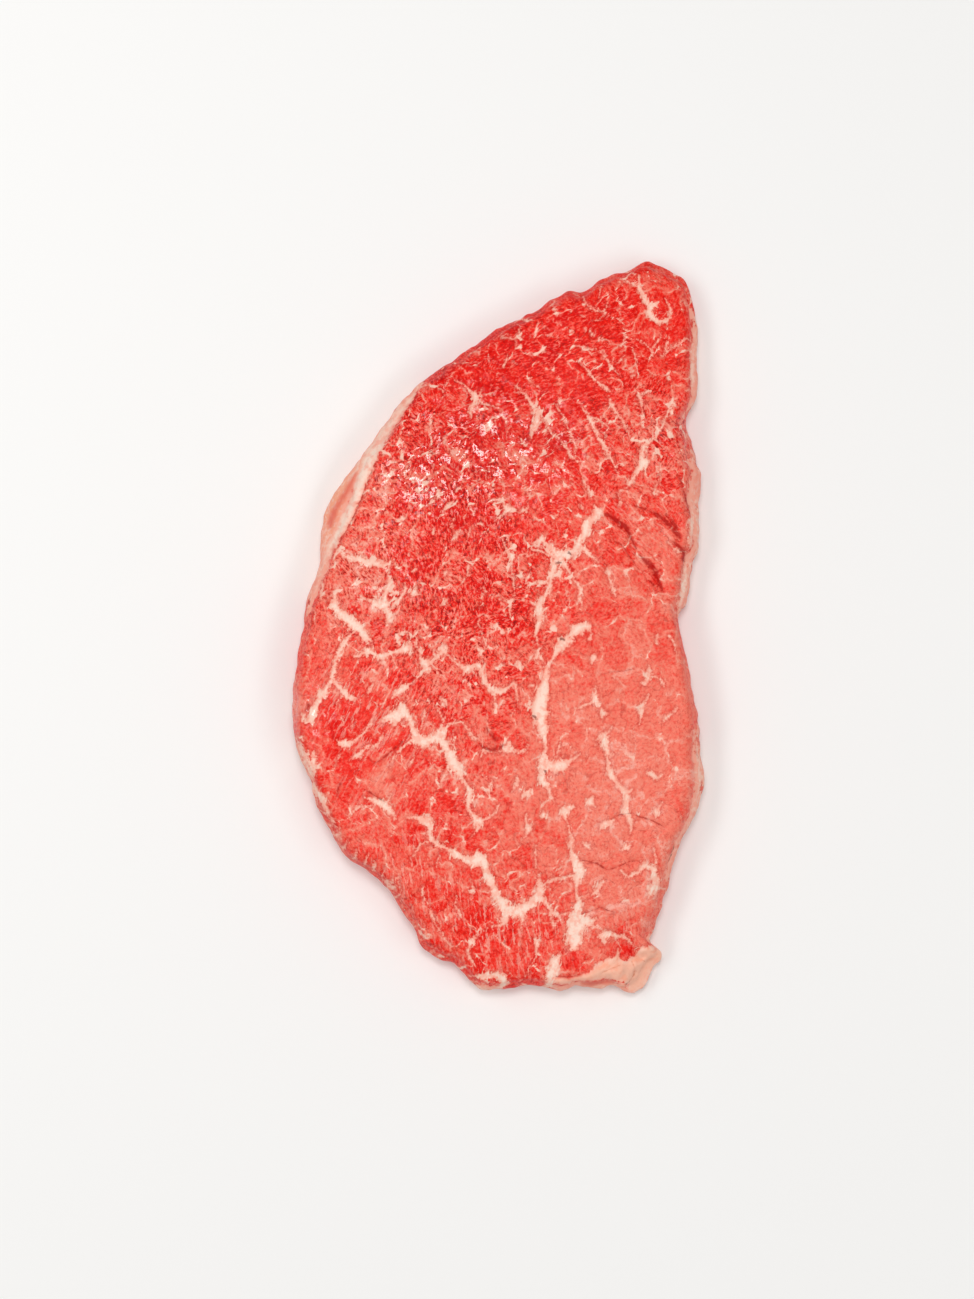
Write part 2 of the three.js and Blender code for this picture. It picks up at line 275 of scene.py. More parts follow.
# The marbling. Seams of fat run between the bundles of lean, drawn here as they show on the cut face, each a chain
# of x, y and width. They go down through the slice, at a slant.
SEAMS = {
    "long seam": [
        [(29.1, 36.6, 1), (29.6, 35, 2.3), (28.6, 33.3, 2.2), (26.8, 31.8, 2.7), (26.7, 30, 3), (25.8, 28, 1.8),
         (24.7, 26.6, 1.7), (24.2, 25.2, 2.2), (22.8, 23.7, 2.7), (20.5, 22.4, 2.8), (18, 21.5, 3.4), (16.6, 19.2, 2.3),
         (16, 16.8, 1.6), (15.6, 14, 1.3), (15.3, 11.7, 1.4), (13.6, 9.2, 1.5), (12, 7, 2.2), (12.4, 4.2, 2.7),
         (12.2, 2, 1.8), (11.5, 0, 1.2), (11.2, -2, 0.9), (11.8, -4.6, 0.8)],
        [(11.8, -6.8, 0.9), (11.9, -8, 1.9), (10.4, -9.3, 0.6)],
        [(11.9, -8, 1.8), (13.2, -9.6, 0.6)],
        [(25, 24.2, 1.7), (27, 22.6, 1.3), (28.6, 21.1, 1), (30, 20, 0.4)],
        [(16.8, 23, 2), (15.6, 24.2, 2.2), (14.3, 25.6, 1.6), (13.2, 26.7, 1.9), (11.5, 26, 1.1), (10.3, 25.4, 0.5)],
        [(16, 22, 1.4), (14, 22.6, 1), (11.5, 23.4, 0.8), (10, 23.9, 0.5)],
        [(15.2, 13.7, 1.2), (12.5, 13.6, 1.1), (10.3, 13.8, 0.9), (9.2, 13, 0.9), (8.5, 12.2, 0.5)],
        [(19.7, 19.5, 1.8), (20.6, 18, 1.1), (22, 16, 0.6), (23.6, 13.5, 0.8), (24.6, 12, 1.3), (24.4, 9, 1.3),
         (25.1, 6.8, 0.5)],
    ],
    "side branch and blade": [
        [(27.2, 0.9, 1.4), (25.6, 0.6, 2.5), (23.8, -0.1, 2.7), (22.2, -1.6, 1.6), (20.6, -2.6, 1.5), (19.2, -4, 2.6),
         (18.2, -5.8, 2.3), (17.3, -7.4, 1.3), (16.2, -9, 0.9), (15, -11, 1), (14.4, -12.6, 1.5), (14.2, -15, 2),
         (13.8, -17, 2.9), (13.2, -19.5, 4), (12.8, -22, 4.5), (12.5, -24.5, 4.9), (12.5, -26.7, 4.6), (13, -29, 3.5),
         (13.6, -31.4, 2.2), (14.1, -33.9, 1.3), (14.1, -35.7, 0.8)],
        [(24.6, -0.8, 1.2), (25.4, -2.2, 0.5)],
        [(22.6, -0.4, 1.2), (21.6, 0.6, 0.5)],
        [(26.8, 0.4, 1.2), (27.4, -1, 0.5)],
        [(20.3, -4, 2.2), (21.8, -3.8, 1.5), (22.9, -4, 0.5)],
        [(20, -5, 1.8), (21.4, -5.3, 0.7)],
        [(14.8, -35, 0.7), (14, -37, 1.1), (13.5, -38.6, 2), (13.1, -40.3, 3.4), (13.1, -42.2, 2.2), (12.7, -43.6, 1.5),
         (12.8, -45.4, 2.5), (14, -46.4, 1.8), (14.9, -48, 1.3), (15.6, -49.7, 1), (16.8, -52, 0.4)],
        [(14.3, -41, 2.4), (16.2, -41.3, 2.4), (18.4, -41.1, 2.5), (20.6, -40, 1.9), (22.6, -38.9, 1.1),
         (24.4, -37.8, 0.4)],
        [(15.6, -42, 1.2), (17.4, -43, 1.2), (18.8, -42.6, 0.6)],
        [(8.8, -17.3, 0.6), (10.4, -17, 0.9)],
    ],
    "right head": [
        [(32, -30.8, 0.8), (31.3, -32.3, 2.2), (32.1, -34.5, 2), (32.6, -36.6, 1.4), (32.7, -39, 1.2),
         (32.8, -41.2, 1.3),
         (33.4, -43.2, 1.9), (34.2, -44.6, 1.8), (35.3, -46, 1.3), (36.6, -47.6, 1.3), (38, -48.8, 1.8),
         (38.5, -50.4, 1.7),
         (38.3, -52.5, 1.5), (37.9, -54.4, 2.3), (38.8, -55.6, 1.3), (39.3, -57, 1.7), (39.5, -60.2, 0.8),
         (39.3, -61.7, 0.4)],
        [(30.7, -32.8, 1.6), (29.3, -33.6, 0.6)],
        [(32.4, -31.6, 0.9), (34, -29.3, 0.4)],
        [(33, -38.6, 0.8), (34.4, -37.6, 0.4)],
        [(38.5, -48.7, 1), (40, -48.2, 0.5)],
        [(37, -66.3, 0.7), (38.3, -65.4, 1.7), (39.4, -64.5, 0.6)],
        [(45.2, -11, 0.4), (45.3, -12.8, 1.2), (45.2, -14.2, 2), (44.3, -15.6, 0.9), (43.5, -16.5, 1.5),
         (42.7, -17, 0.4)],
        [(45.6, -14.2, 1.2), (47, -14.4, 0.8), (48.4, -15, 0.6), (49.3, -16.6, 1.2), (49.8, -17.4, 0.4)],
        [(45, -19.8, 0.4), (44.4, -21.5, 0.8), (43.1, -23.4, 1.9), (42.6, -25.3, 1.3), (42.6, -27, 0.9),
         (42.2, -28.8, 0.4)],
        [(29, -17, 0.4), (29.3, -18.8, 0.7), (29, -20.4, 1.5), (29.4, -21.9, 2.2), (28.3, -22.2, 0.7),
         (26.6, -22.8, 0.7),
         (24.9, -23.5, 1.2), (23.5, -24.2, 0.4)],
        [(30.6, -23.6, 0.5), (31.2, -25.5, 2), (31, -26.9, 0.6)],
        [(31.4, -25.4, 1.4), (33, -25.6, 0.5)],
        [(29.2, -7.7, 0.7), (28.3, -8.7, 1.8), (27.7, -10, 0.7)],
        [(53.4, -24, 0.7), (52, -25.4, 0.7), (50.2, -26.9, 1.3), (49.4, -27.8, 0.5)],
        [(47.3, -2, 0.7), (47.6, -4.4, 0.9)],
        [(51.3, -2.2, 0.9), (52.2, -3.4, 0.7), (52.9, -5, 0.8), (53, -7, 0.4)],
        [(27.9, -1.5, 0.7), (27.2, -3.3, 1)],
        [(44.4, -43, 0.8), (45.7, -43.6, 1.5), (47.4, -44.8, 1.5), (49, -43.8, 0.7)],
        [(49.2, -52, 0.5), (48.1, -53.5, 1.2), (47.3, -55.3, 1.8), (46.9, -56.7, 0.4)],
        [(28.1, -50.2, 0.6), (27.5, -51.9, 2.5), (28.8, -53.2, 0.6)],
        [(26.1, -51.9, 0.5), (27.4, -51.9, 1.3)],
        [(34.4, -57.4, 0.9), (32.8, -58.3, 2), (31.2, -59, 1.9), (30.4, -60.6, 0.5)],
        [(18.4, -34.3, 0.4), (18, -35.9, 1.2), (17.7, -37.3, 0.5)],
        [(32.8, 18.2, 0.8), (33, 17, 1.7), (33.4, 15.4, 0.8), (34.3, 12.6, 0.7), (34.6, 11.4, 1.3), (35.2, 9.8, 0.5)],
    ],
    "foot": [
        [(22.8, -53.5, 0.6), (21.3, -53.6, 2), (19.8, -54.6, 2.5), (19.7, -55.9, 1.5), (20.3, -57.5, 0.6),
         (21, -60.3, 0.6),
         (21.9, -62.6, 1.2), (21.8, -64.5, 1.6), (22, -66.5, 1.3), (22.4, -68.4, 2.2), (23.5, -70.5, 3.2),
         (23.9, -72.5, 3.3),
         (23.4, -75.3, 2), (23.3, -77.3, 1.2), (23.5, -79.2, 0.8), (24.1, -81.6, 1.7), (23.6, -83.8, 2.3),
         (23.1, -85.8, 3),
         (23, -88.3, 4.1), (22.8, -91, 4.8), (22.5, -93.5, 4.7), (22.3, -95.4, 2.4), (22.2, -96.6, 0.6)],
        [(21.5, -64.3, 1), (20, -64.1, 0.5)],
        [(24.6, -87.6, 2.4), (26.5, -87.4, 2.4), (28, -87.6, 1.4), (29.2, -86.4, 0.4)],
        [(26.5, -88, 1.6), (28.4, -88.8, 0.9)],
        [(21, -93, 2), (19.8, -93.4, 1)],
        [(-27.4, -56.8, 0.7), (-25, -56.6, 1.1), (-23, -57.1, 1.8), (-21, -58, 2.8), (-20.2, -59.4, 2),
         (-20.4, -61.6, 1.2),
         (-19.8, -63.5, 2.1), (-18.2, -64.9, 1.3), (-15.5, -66, 1.2), (-13.4, -67, 2.1), (-11.2, -68.4, 2.1),
         (-9, -69.2, 2.8),
         (-6.8, -69.3, 3.9), (-5, -69.6, 3.4), (-3.9, -71.6, 2.6), (-2.6, -75.6, 2.3), (-1.2, -78.6, 2.3),
         (0.3, -81, 2.6),
         (1.6, -83, 3.2), (3.2, -84.6, 3.2), (5.2, -84.9, 3.1), (7.2, -84.1, 3), (9, -82.8, 2.4), (10.8, -81.3, 2.2),
         (12.4, -79.4, 2), (12.5, -77.5, 2), (12.2, -75.6, 1.2), (12.4, -73.5, 0.5)],
        [(-6.8, -68, 2.4), (-6, -66, 0.4)],
        [(-19.8, -63.8, 1), (-22, -64.2, 0.9), (-23.6, -65.1, 0.8), (-24.7, -66.6, 0.8), (-25.3, -68.8, 0.4)],
        [(12.8, -78.2, 1), (14, -77.5, 0.7), (15, -76.5, 0.4)],
        [(12.8, -80, 1.5), (13.9, -81.6, 1.4), (15.2, -83.6, 1.3), (16.6, -84.9, 1), (18, -85.8, 1),
         (19.4, -85.6, 0.7), (21.3, -84.9, 0.8)],
        [(15.6, -84.6, 1), (15.6, -86.8, 0.8), (16.4, -88.6, 1)],
        [(13, -77.4, 1.2), (14.6, -76, 1), (17.4, -74.9, 0.8), (20.6, -74.6, 0.9), (22.4, -73.8, 1)],
        [(18, -85.8, 0.9), (17.8, -87.2, 0.6), (16.7, -88.7, 0.7)],
        [(2.2, -85.3, 2.5), (1.9, -87, 2.4), (1.4, -88.6, 0.9), (-1, -89.1, 0.7), (-3, -89.4, 0.7), (-4.2, -90.4, 0.3)],
        [(6.8, -85, 2.2), (7, -86.7, 1.5), (7, -88.5, 0.8), (7.3, -90.8, 0.4)],
        [(-6.2, -91.4, 0.4), (-7.2, -92.6, 1.3), (-8, -93.9, 1.7), (-8.7, -95.4, 0.8), (-9.1, -97.2, 1.1),
         (-8.6, -98.6, 1.2),
         (-7.6, -99.8, 0.7), (-6.8, -101.2, 0.3)],
        [(31.3, -75.8, 1.1), (30.2, -77.1, 1.9), (28.9, -79, 1.5), (27.9, -79.8, 0.5)],
        [(36.5, -72.5, 0.8), (38.5, -74.5, 1), (42, -73, 1.2), (43.5, -70.5, 1.4), (46.5, -72.5, 1.8),
         (47.2, -75.5, 2.2),
         (46.5, -77.6, 2.4), (45.6, -79.4, 1.8), (44.9, -80.6, 0.5)],
        [(46.5, -66, 0.8), (47, -70, 0.9)],
        [(29.7, -92.3, 0.8), (30.9, -91.5, 1.8), (33.2, -91.4, 1.9), (35.2, -91.8, 1.3), (37.5, -92.3, 1.3),
         (39.2, -93.3, 1.1),
         (40.4, -94.7, 0.4)],
        [(31.2, -92, 1.6), (31.7, -93.6, 1.5), (31.6, -94.9, 0.4)],
        [(18.7, -96.7, 0.5), (17.8, -98.4, 1.6), (16.6, -100.3, 3), (16, -102.4, 3.2), (15.7, -104.4, 2.8),
         (15.4, -106.6, 2.4)],
        [(-8, -104.3, 0.7), (-6.3, -104.2, 1.3), (-4, -103.8, 2.1), (-1.8, -103.8, 2.1), (0, -104.2, 2),
         (1.4, -104.6, 2.6),
         (1.6, -106, 2.4), (1, -108, 2.2)],
        [(1.1, -103.6, 1.2), (1, -102, 0.4)],
        [(10.8, -93, 0.9), (11.5, -94, 1.6), (11.4, -95.7, 0.9), (11.1, -97.6, 0.7), (10.5, -99.4, 0.4),
         (9.3, -101.2, 0.5),
         (8.6, -103, 0.7), (8, -104.4, 0.3)],
        [(8.4, -55.6, 0.8), (8.3, -57.4, 1), (8.9, -59.6, 1.9), (8.3, -61.4, 1), (7.5, -62.7, 0.4)],
        [(5.7, -44.7, 0.9), (5.5, -46.1, 2.1), (4.8, -47.8, 0.8), (3.9, -48.6, 0.3)],
        [(-2, -45.4, 0.5), (-2.4, -47.4, 1.3), (-2.8, -48.6, 1.2), (-3.2, -49.7, 0.4)],
        [(9.8, -48.2, 0.4), (7.9, -49.5, 2.1), (6.9, -50.8, 0.7)],
        [(13.5, -54.8, 0.7), (13.4, -56, 1.9), (13.1, -57, 0.5)],
        [(3.4, -33.4, 0.4), (2.8, -35, 1.9), (2.8, -36.4, 1.4), (1.7, -37.1, 0.5)],
        [(3.2, -36, 1.2), (3.9, -37.2, 0.4)],
        [(-4.4, -36.8, 0.9), (-2.2, -37, 0.6), (0.6, -36.9, 0.6), (2.8, -36.3, 1.5), (5.4, -36.9, 0.8),
         (8.2, -36.6, 1)],
        [(25.2, -64.3, 0.6), (26.6, -65.2, 1.6), (27.5, -66.1, 0.6)],
        [(-5.3, -38.8, 0.6), (-4.7, -36.9, 1.1), (-3.8, -36, 0.4)],
        [(8.7, -34.8, 0.3), (8.4, -36.2, 0.9), (8, -37.2, 0.3)],
        [(-22.4, -77, 0.4), (-22.8, -79, 1), (-21.6, -81.5, 0.6), (-20.5, -83.5, 0.8), (-20.2, -85.2, 1),
         (-19.4, -87.3, 0.5),
         (-17.8, -90, 0.5), (-16.3, -92.5, 0.7), (-15.3, -94, 0.8), (-14, -95, 0.3)],
        [(-12.7, -80, 0.4), (-13, -82.5, 0.6), (-12.4, -84, 0.6), (-11.3, -85.7, 0.9), (-10.8, -87, 0.3)],
        [(-7.8, -76, 0.4), (-7.4, -78, 0.9), (-7.3, -79.6, 0.3)],
        [(-30, -74.5, 0.5), (-29.7, -77.8, 0.6)],
        [(11, -65.3, 0.4), (10.9, -67, 0.8), (11, -71.3, 0.5)],
    ],
    "middle of the round side": [
        [(-28.6, -22.3, 0.8), (-28.9, -23.8, 2.6), (-29.3, -25.4, 3.5), (-31.5, -26.4, 2.9), (-34, -27.1, 1.8),
         (-36, -28, 0.9),
         (-36.6, -28.8, 0.3)],
        [(-30.8, -26.8, 3.4), (-31.2, -28.8, 1.2)],
        [(-28.8, -25, 2.7), (-27.4, -26.2, 1.8), (-26.3, -27.4, 1.8), (-25.8, -29.3, 1.7), (-25.1, -31.3, 1.8),
         (-24.4, -33, 2.9),
         (-22.9, -34, 3.5), (-21, -33.8, 2.8), (-19.2, -32.9, 2.6), (-17.8, -32.2, 3.2), (-16.7, -31, 2.3),
         (-15.8, -29.6, 0.9)],
        [(-17.6, -33, 2.7), (-16.2, -35, 2.1), (-14.8, -37.2, 2.4), (-13.9, -39.6, 3.4), (-13.4, -40.9, 3.7),
         (-11.8, -42.2, 2.3),
         (-11.3, -43.8, 1.8), (-10.8, -45.3, 1.2), (-9.4, -46.8, 1.1), (-8.7, -48.6, 2.2), (-8.7, -50.4, 2.4),
         (-9, -52.4, 2),
         (-9.3, -54, 1.1), (-8, -55.5, 1.1), (-6.7, -57, 2.1), (-5.9, -58, 2.9), (-4.3, -57.4, 1.2), (-2.8, -56.6, 0.9),
         (-1.2, -55.2, 0.7), (0.4, -53, 0.3)],
        [(-15, -40.9, 1.3), (-16, -43.3, 0.9), (-16.9, -45.8, 0.8), (-17.2, -48, 0.4)],
        [(-6.1, -59, 1.3), (-6.6, -60.7, 0.8), (-7.8, -62.3, 0.4)],
        [(-26, -33.6, 1.3), (-28, -35, 1), (-29.6, -36.4, 1.1), (-31, -38, 0.8), (-32, -40, 0.6), (-32.4, -42, 0.3)],
        [(-18.3, -23, 0.4), (-17.7, -25, 0.6), (-16.9, -27, 0.7), (-16, -28.8, 0.7)],
        [(-15.6, -28.8, 0.9), (-13.5, -28.3, 0.9), (-11.4, -28, 0.7), (-10, -29.2, 0.7), (-8.9, -31, 0.6),
         (-7.4, -32.4, 1.2),
         (-6.5, -33.4, 0.4)],
        [(-21.9, -24.4, 0.5), (-22.4, -26.4, 1), (-22.8, -28.4, 0.6), (-23.6, -31.4, 0.5)],
        [(-13.3, -31.5, 0.5), (-13.5, -34.5, 0.7)],
        [(-40, -50.6, 0.8), (-37, -51.5, 1.3), (-34.6, -52.7, 1.8), (-33, -54, 2.2), (-31, -57, 0.7)],
        [(-32.3, -49.5, 0.5), (-32.9, -51.3, 0.9), (-33.6, -53, 0.9)],
        [(-45, -56, 0.5), (-42, -53.5, 0.8), (-38, -53, 0.7)],
        [(-37.8, -27, 0.4), (-38.5, -28.6, 0.9), (-39.6, -30.2, 0.8), (-41.2, -32, 0.9), (-43.2, -33.7, 1.2),
         (-45.3, -34.6, 2),
         (-47.3, -34.2, 2), (-48.3, -33.6, 0.5)],
        [(-34.2, -30.8, 0.3), (-35, -32.5, 0.8), (-35.8, -34, 0.8), (-37, -35.3, 1), (-39.2, -35.4, 1.1),
         (-40.6, -36.6, 1),
         (-41.6, -37.8, 1.8), (-43.2, -38.5, 1), (-44.4, -39.3, 0.3)],
        [(-32, -21, 0.7), (-30.6, -19.6, 1.2), (-29.2, -18.6, 2), (-27.8, -17.6, 1.9), (-26.6, -16.7, 0.9),
         (-25.6, -16, 0.4)],
        [(-39.7, -20.4, 0.5), (-38.8, -18.6, 0.9), (-37.7, -16.6, 0.5)],
        [(-43.3, -26.8, 0.4), (-44.3, -29.5, 0.6)],
        [(-24.4, -36.2, 0.3), (-25.4, -38.8, 0.6), (-26.8, -41.5, 0.4)],
        [(-17.4, -20.8, 0.8), (-15.9, -22, 0.9), (-15.2, -23.8, 0.4)],
        [(-17.5, -68, 0.4), (-18.1, -69.6, 0.8), (-18.7, -71.5, 0.4)],
        [(-47.5, -37.8, 0.6), (-48.8, -41, 0.4)],
    ],
    "rim of the round side": [
        [(-54.8, -50.4, 1.1), (-53.4, -48, 0.4)],
        [(-52.4, -56.4, 1.2), (-51, -53.6, 0.4)],
        [(-50.4, -59.6, 0.9), (-49.4, -57.4, 0.3)],
        [(-48.7, -62.8, 1.1), (-47.6, -59.8, 0.4)],
        [(-46.4, -66.2, 1), (-45.2, -63, 0.4)],
        [(-43.2, -68.8, 1.3), (-42.4, -66, 0.4)],
        [(-40, -70.6, 1), (-38.8, -67.2, 0.3)],
        [(-37.6, -72.6, 1.2), (-36.8, -69.2, 0.4)],
        [(-35, -75.2, 0.9), (-34, -71.6, 0.3)],
        [(-32.6, -78, 1.1), (-31.4, -74.6, 0.4)],
        [(-30.2, -81, 0.8), (-29.2, -78, 0.3)],
        [(-59, -25.8, 1.1), (-58.4, -27, 1.3)],
        [(-58.9, -32.6, 0.7), (-58.3, -34.4, 0.8)],
        [(-60, -34.4, 0.9), (-59.2, -36.5, 1.7), (-57.8, -39.6, 2.1), (-56.6, -42.6, 1.6), (-55.6, -46, 0.9),
         (-54.6, -49, 1.8),
         (-53, -51, 2.4), (-51.6, -54.4, 0.9), (-49.6, -58, 0.7)],
        [(-55.7, -37.6, 1.3), (-55.4, -40.4, 1.9), (-55.3, -44, 0.9)],
        [(-33.5, -76, 1.3), (-31.8, -77.8, 1.3)],
        [(-52.8, 16, 0.7), (-53.3, 9, 0.9)],
    ],
    "cross seam": [
        [(-43.4, -8.4, 0.7), (-41.3, -7.7, 1.3), (-39.5, -7, 1.8), (-38.3, -7, 2.1), (-36.8, -7.9, 1.4),
         (-35, -8.5, 2.1),
         (-33.6, -7.8, 1.1), (-31.9, -7.3, 1), (-29.4, -6.8, 1.3), (-27.4, -6, 2.4), (-26.2, -5, 1.4)],
        [(-26.2, -5, 0.9), (-26.9, -3.4, 0.6), (-27.4, -1.8, 0.7), (-28.3, 0, 0.4)],
        [(-25.3, 0, 0.4), (-24.8, -2.5, 0.6), (-24.6, -5, 0.6), (-23.8, -7, 0.7), (-23.4, -9.6, 1)],
        [(-22.6, -9.9, 2.1), (-21.9, -10.8, 3.4), (-21.5, -12.3, 2.1), (-21.4, -13.4, 0.4)],
        [(-21, -10.2, 1.8), (-19.6, -9.4, 1.1), (-18, -8.1, 1.3), (-16.8, -6.8, 2), (-16, -6, 2.1), (-15.8, -5.1, 0.6)],
        [(-16, -6.4, 1.6), (-15.2, -8, 1), (-13.8, -9.4, 0.7), (-12.2, -10.7, 0.9), (-10.7, -11.6, 1.1),
         (-9.6, -12.2, 2.2),
         (-8.2, -11.6, 1.3), (-6.8, -10.9, 1.3), (-5.8, -11.3, 2.2), (-5.2, -12.6, 1.4), (-4.8, -14.2, 1.1),
         (-4.2, -15.7, 1.5),
         (-2.6, -17.5, 1.5), (-1.1, -18.7, 1.8), (0.5, -19, 1.6), (2, -18.5, 1.3), (3.6, -17.3, 1), (4.8, -16.2, 0.9),
         (5.3, -18.4, 0.9), (5.6, -20.5, 0.6), (5.7, -24.5, 0.3)],
        [(-9.8, -12.4, 1.7), (-10.6, -13.6, 0.9), (-11, -14.4, 0.3)],
        [(-1.1, -19, 1.1), (-1.2, -20.6, 1), (-1.3, -21.7, 0.3)],
        [(5.9, -10, 0.6), (5.9, -10.9, 1.8), (6, -11.8, 0.6)],
        [(-49.2, 11, 1), (-49.3, 9, 1.6), (-49.6, 7.3, 2.3), (-48, 5.2, 2.4), (-46, 3.5, 2.9), (-44, 1.7, 3.1),
         (-42, 0.3, 2.9),
         (-40.6, -1.2, 2.8), (-39.6, -2.4, 2.1), (-38.3, -3.3, 1), (-37.8, -4.4, 0.3)],
        [(-40.5, -2, 1.6), (-40.8, -4.2, 0.4)],
        [(-42.6, 0, 1.1), (-44, -1.4, 1), (-45.4, -3.2, 1.3), (-46.8, -4.9, 1.4), (-47.8, -6.6, 1.3), (-48.4, -8.8, 1),
         (-49, -11, 1.4), (-49.4, -13, 1.6), (-50.2, -15.8, 1.5), (-52, -18.7, 1.6), (-53.5, -20.8, 1.6),
         (-54.6, -23, 1.7),
         (-55.4, -25.3, 2.3), (-56.3, -27, 2.3), (-57.8, -28.2, 1)],
        [(-49.4, -15.6, 1.3), (-47.8, -17.6, 1.4), (-46.4, -19.3, 1.6), (-44.9, -20.6, 1.3), (-43.6, -20.9, 1.5),
         (-43, -21.8, 0.3)],
        [(-46.6, -19.6, 1.1), (-47.8, -21.5, 0.7), (-48.6, -22.8, 0.3)],
        [(-47, 22.5, 1), (-44.5, 21, 1.7), (-41.5, 20.5, 2.1), (-38, 20, 1.7), (-36, 19, 1.5), (-33.3, 19.3, 1.7)],
        [(-33.2, 18.8, 0.9), (-33, 16, 0.9), (-32.3, 14.3, 1.8), (-33.2, 12.3, 1.4), (-34, 10.5, 1.3), (-34.2, 9, 1.5),
         (-34.2, 7.2, 2.5), (-33.3, 5, 2), (-33, 3, 1.8), (-33.7, 1.6, 0.5)],
        [(-42.3, 8.7, 0.7), (-40.5, 9, 1), (-38.5, 8.5, 1), (-36.6, 7.5, 2.2), (-35, 7, 2.8)],
        [(-32.4, 6, 1.1), (-30.7, 7.5, 1.4), (-29.3, 9.3, 1.1), (-28.4, 11, 1), (-28, 12.6, 1.5)],
        [(-26.3, 10.1, 0.7), (-25.2, 10.7, 2), (-23.7, 10.1, 0.5)],
        [(-17.6, 7.1, 0.6), (-16.1, 7.9, 1.7), (-15.1, 8.9, 0.5)],
        [(-55.3, 5.4, 0.5), (-55.3, 1.4, 0.6)],
    ],
    "upper face": [
        [(-13, 74.5, 0.5), (-10.5, 73.3, 0.9), (-9, 72, 1), (-7.5, 70.3, 1.4), (-6.8, 69.3, 2.1), (-7.8, 67.5, 1.3),
         (-8.4, 65.5, 1.1), (-8.3, 63.4, 0.3)],
        [(-6.2, 69.6, 1), (-5.5, 70.6, 0.7), (-4.7, 72.3, 0.3)],
        [(-6, 69, 1), (-4.8, 67.8, 0.6), (-2, 67.3, 0.4), (0.5, 66, 0.5), (1.2, 64, 0.5), (2.4, 62.6, 0.6),
         (2.5, 61, 0.3)],
        [(0.8, 89.5, 0.5), (1.4, 87.8, 0.7), (5, 87.3, 0.6), (6.5, 88.8, 0.7), (6.2, 90.3, 0.4)],
        [(5.3, 87, 0.5), (5.2, 84.5, 0.4)],
        [(1.3, 78.8, 0.6), (2.2, 80.5, 0.8), (2.7, 82.5, 0.4)],
        [(-18.5, 73, 0.5), (-17, 72, 0.8), (-16.5, 70.5, 0.6), (-17, 69, 0.3)],
        [(5.4, 73, 0.7), (8.3, 70, 0.9), (10.8, 67, 1.2), (12, 65, 2.1), (11.3, 62.5, 1.9), (10.5, 60.5, 1.6),
         (10.1, 58.5, 1.2),
         (10, 57, 0.4)],
        [(12.6, 64.6, 1), (14.2, 62.5, 0.8), (15, 61, 0.6), (16.2, 58.7, 0.9), (18.5, 57, 0.6), (20.5, 54.3, 0.7),
         (22.2, 51.5, 1.2), (24.2, 50.2, 0.6)],
        [(9.5, 74.7, 0.4), (12, 73, 0.5), (13.8, 71.5, 0.3)],
        [(6.6, 57.5, 0.5), (7.5, 56, 0.8), (8, 55.2, 0.5)],
        [(16.8, 68, 0.5), (17.8, 66.7, 0.9), (19.5, 64, 0.6), (20.3, 62, 0.5), (21, 60.5, 0.5), (22, 58, 0.6),
         (23.2, 55.5, 0.7),
         (23.5, 53.5, 0.5)],
        [(25.4, 66.5, 0.9), (27.2, 64, 1.2), (28.2, 61.8, 1.2), (28.6, 60.4, 1), (30, 58, 1.1), (31.5, 55.5, 1.2),
         (32.7, 53.5, 1.2), (33.7, 51.5, 1.1), (34.7, 49.5, 0.9), (35.3, 47.5, 0.4)],
        [(28.8, 63.5, 0.7), (31.5, 62, 0.7), (33.5, 60, 0.4)],
        [(33.2, 69.5, 0.5), (33.7, 68, 0.9), (35.3, 65.5, 0.8), (36.5, 64, 0.9), (37.8, 61.5, 0.9), (38.5, 59.5, 0.7),
         (39.5, 58, 0.4)],
        [(24.5, 80.5, 0.5), (26, 78.5, 0.7), (27.5, 77, 0.8), (29.3, 75, 0.9), (30.3, 74, 1), (31.8, 72.5, 1.2),
         (33.5, 71.5, 0.7)],
        [(42, 70.6, 0.5), (42.6, 69.3, 1.2), (43, 68, 0.8), (43.2, 65.5, 0.5), (43.3, 63.5, 0.8), (43, 61.5, 0.6),
         (43.3, 60, 0.3)],
        [(42.6, 69.3, 0.8), (44, 70.8, 0.4)],
        [(51.8, 67.5, 0.6), (51.2, 65.8, 1), (50.6, 64, 0.9), (49.8, 62, 0.8), (48.5, 59.8, 0.8), (47, 57.8, 1),
         (45.3, 56, 0.9),
         (43.8, 54.8, 1.4), (42.9, 53, 1.4), (43.2, 51, 1.5), (43.4, 49.7, 2.8), (42.3, 48, 1.8), (41.5, 46.5, 1.3),
         (40.3, 45, 1.2), (39.2, 43.7, 1.6), (38.5, 42.7, 0.6)],
        [(46.5, 61.5, 0.4), (47.8, 59.8, 0.6)],
        [(28, 40.4, 1.4), (27.3, 41.8, 1), (26.2, 43.5, 0.8), (25.4, 45.3, 0.5)],
        [(47.6, 44, 0.5), (47.4, 42, 0.8), (47.1, 41, 1.4)],
        [(36.5, 41.5, 0.5), (36.2, 40, 0.8), (36.7, 38.2, 1), (36.5, 37.2, 1.2)],
        [(24.6, 37.2, 0.6), (25.2, 36.5, 1)],
        [(-3.2, 38.2, 0.4), (-1.8, 38.9, 0.8), (0, 39, 1), (1.3, 38.6, 1.3), (2, 37.2, 1.1), (2.7, 36, 1.6),
         (2, 34.8, 1.4),
         (0.8, 33.8, 0.8), (-0.6, 32.9, 0.6), (-1.3, 32.2, 0.3)],
        [(3, 36, 1.2), (4.6, 36, 0.7), (5.4, 35.7, 0.3)],
        [(6.8, 34.8, 0.5), (8, 35.6, 1.5), (8.8, 36.6, 1.1), (9, 37.9, 0.3)],
        [(0.8, 27.6, 0.4), (1.4, 26, 0.9), (2.3, 24.5, 0.8), (3.2, 23, 1.2), (3.8, 21.7, 1.9), (3.8, 20, 1.1),
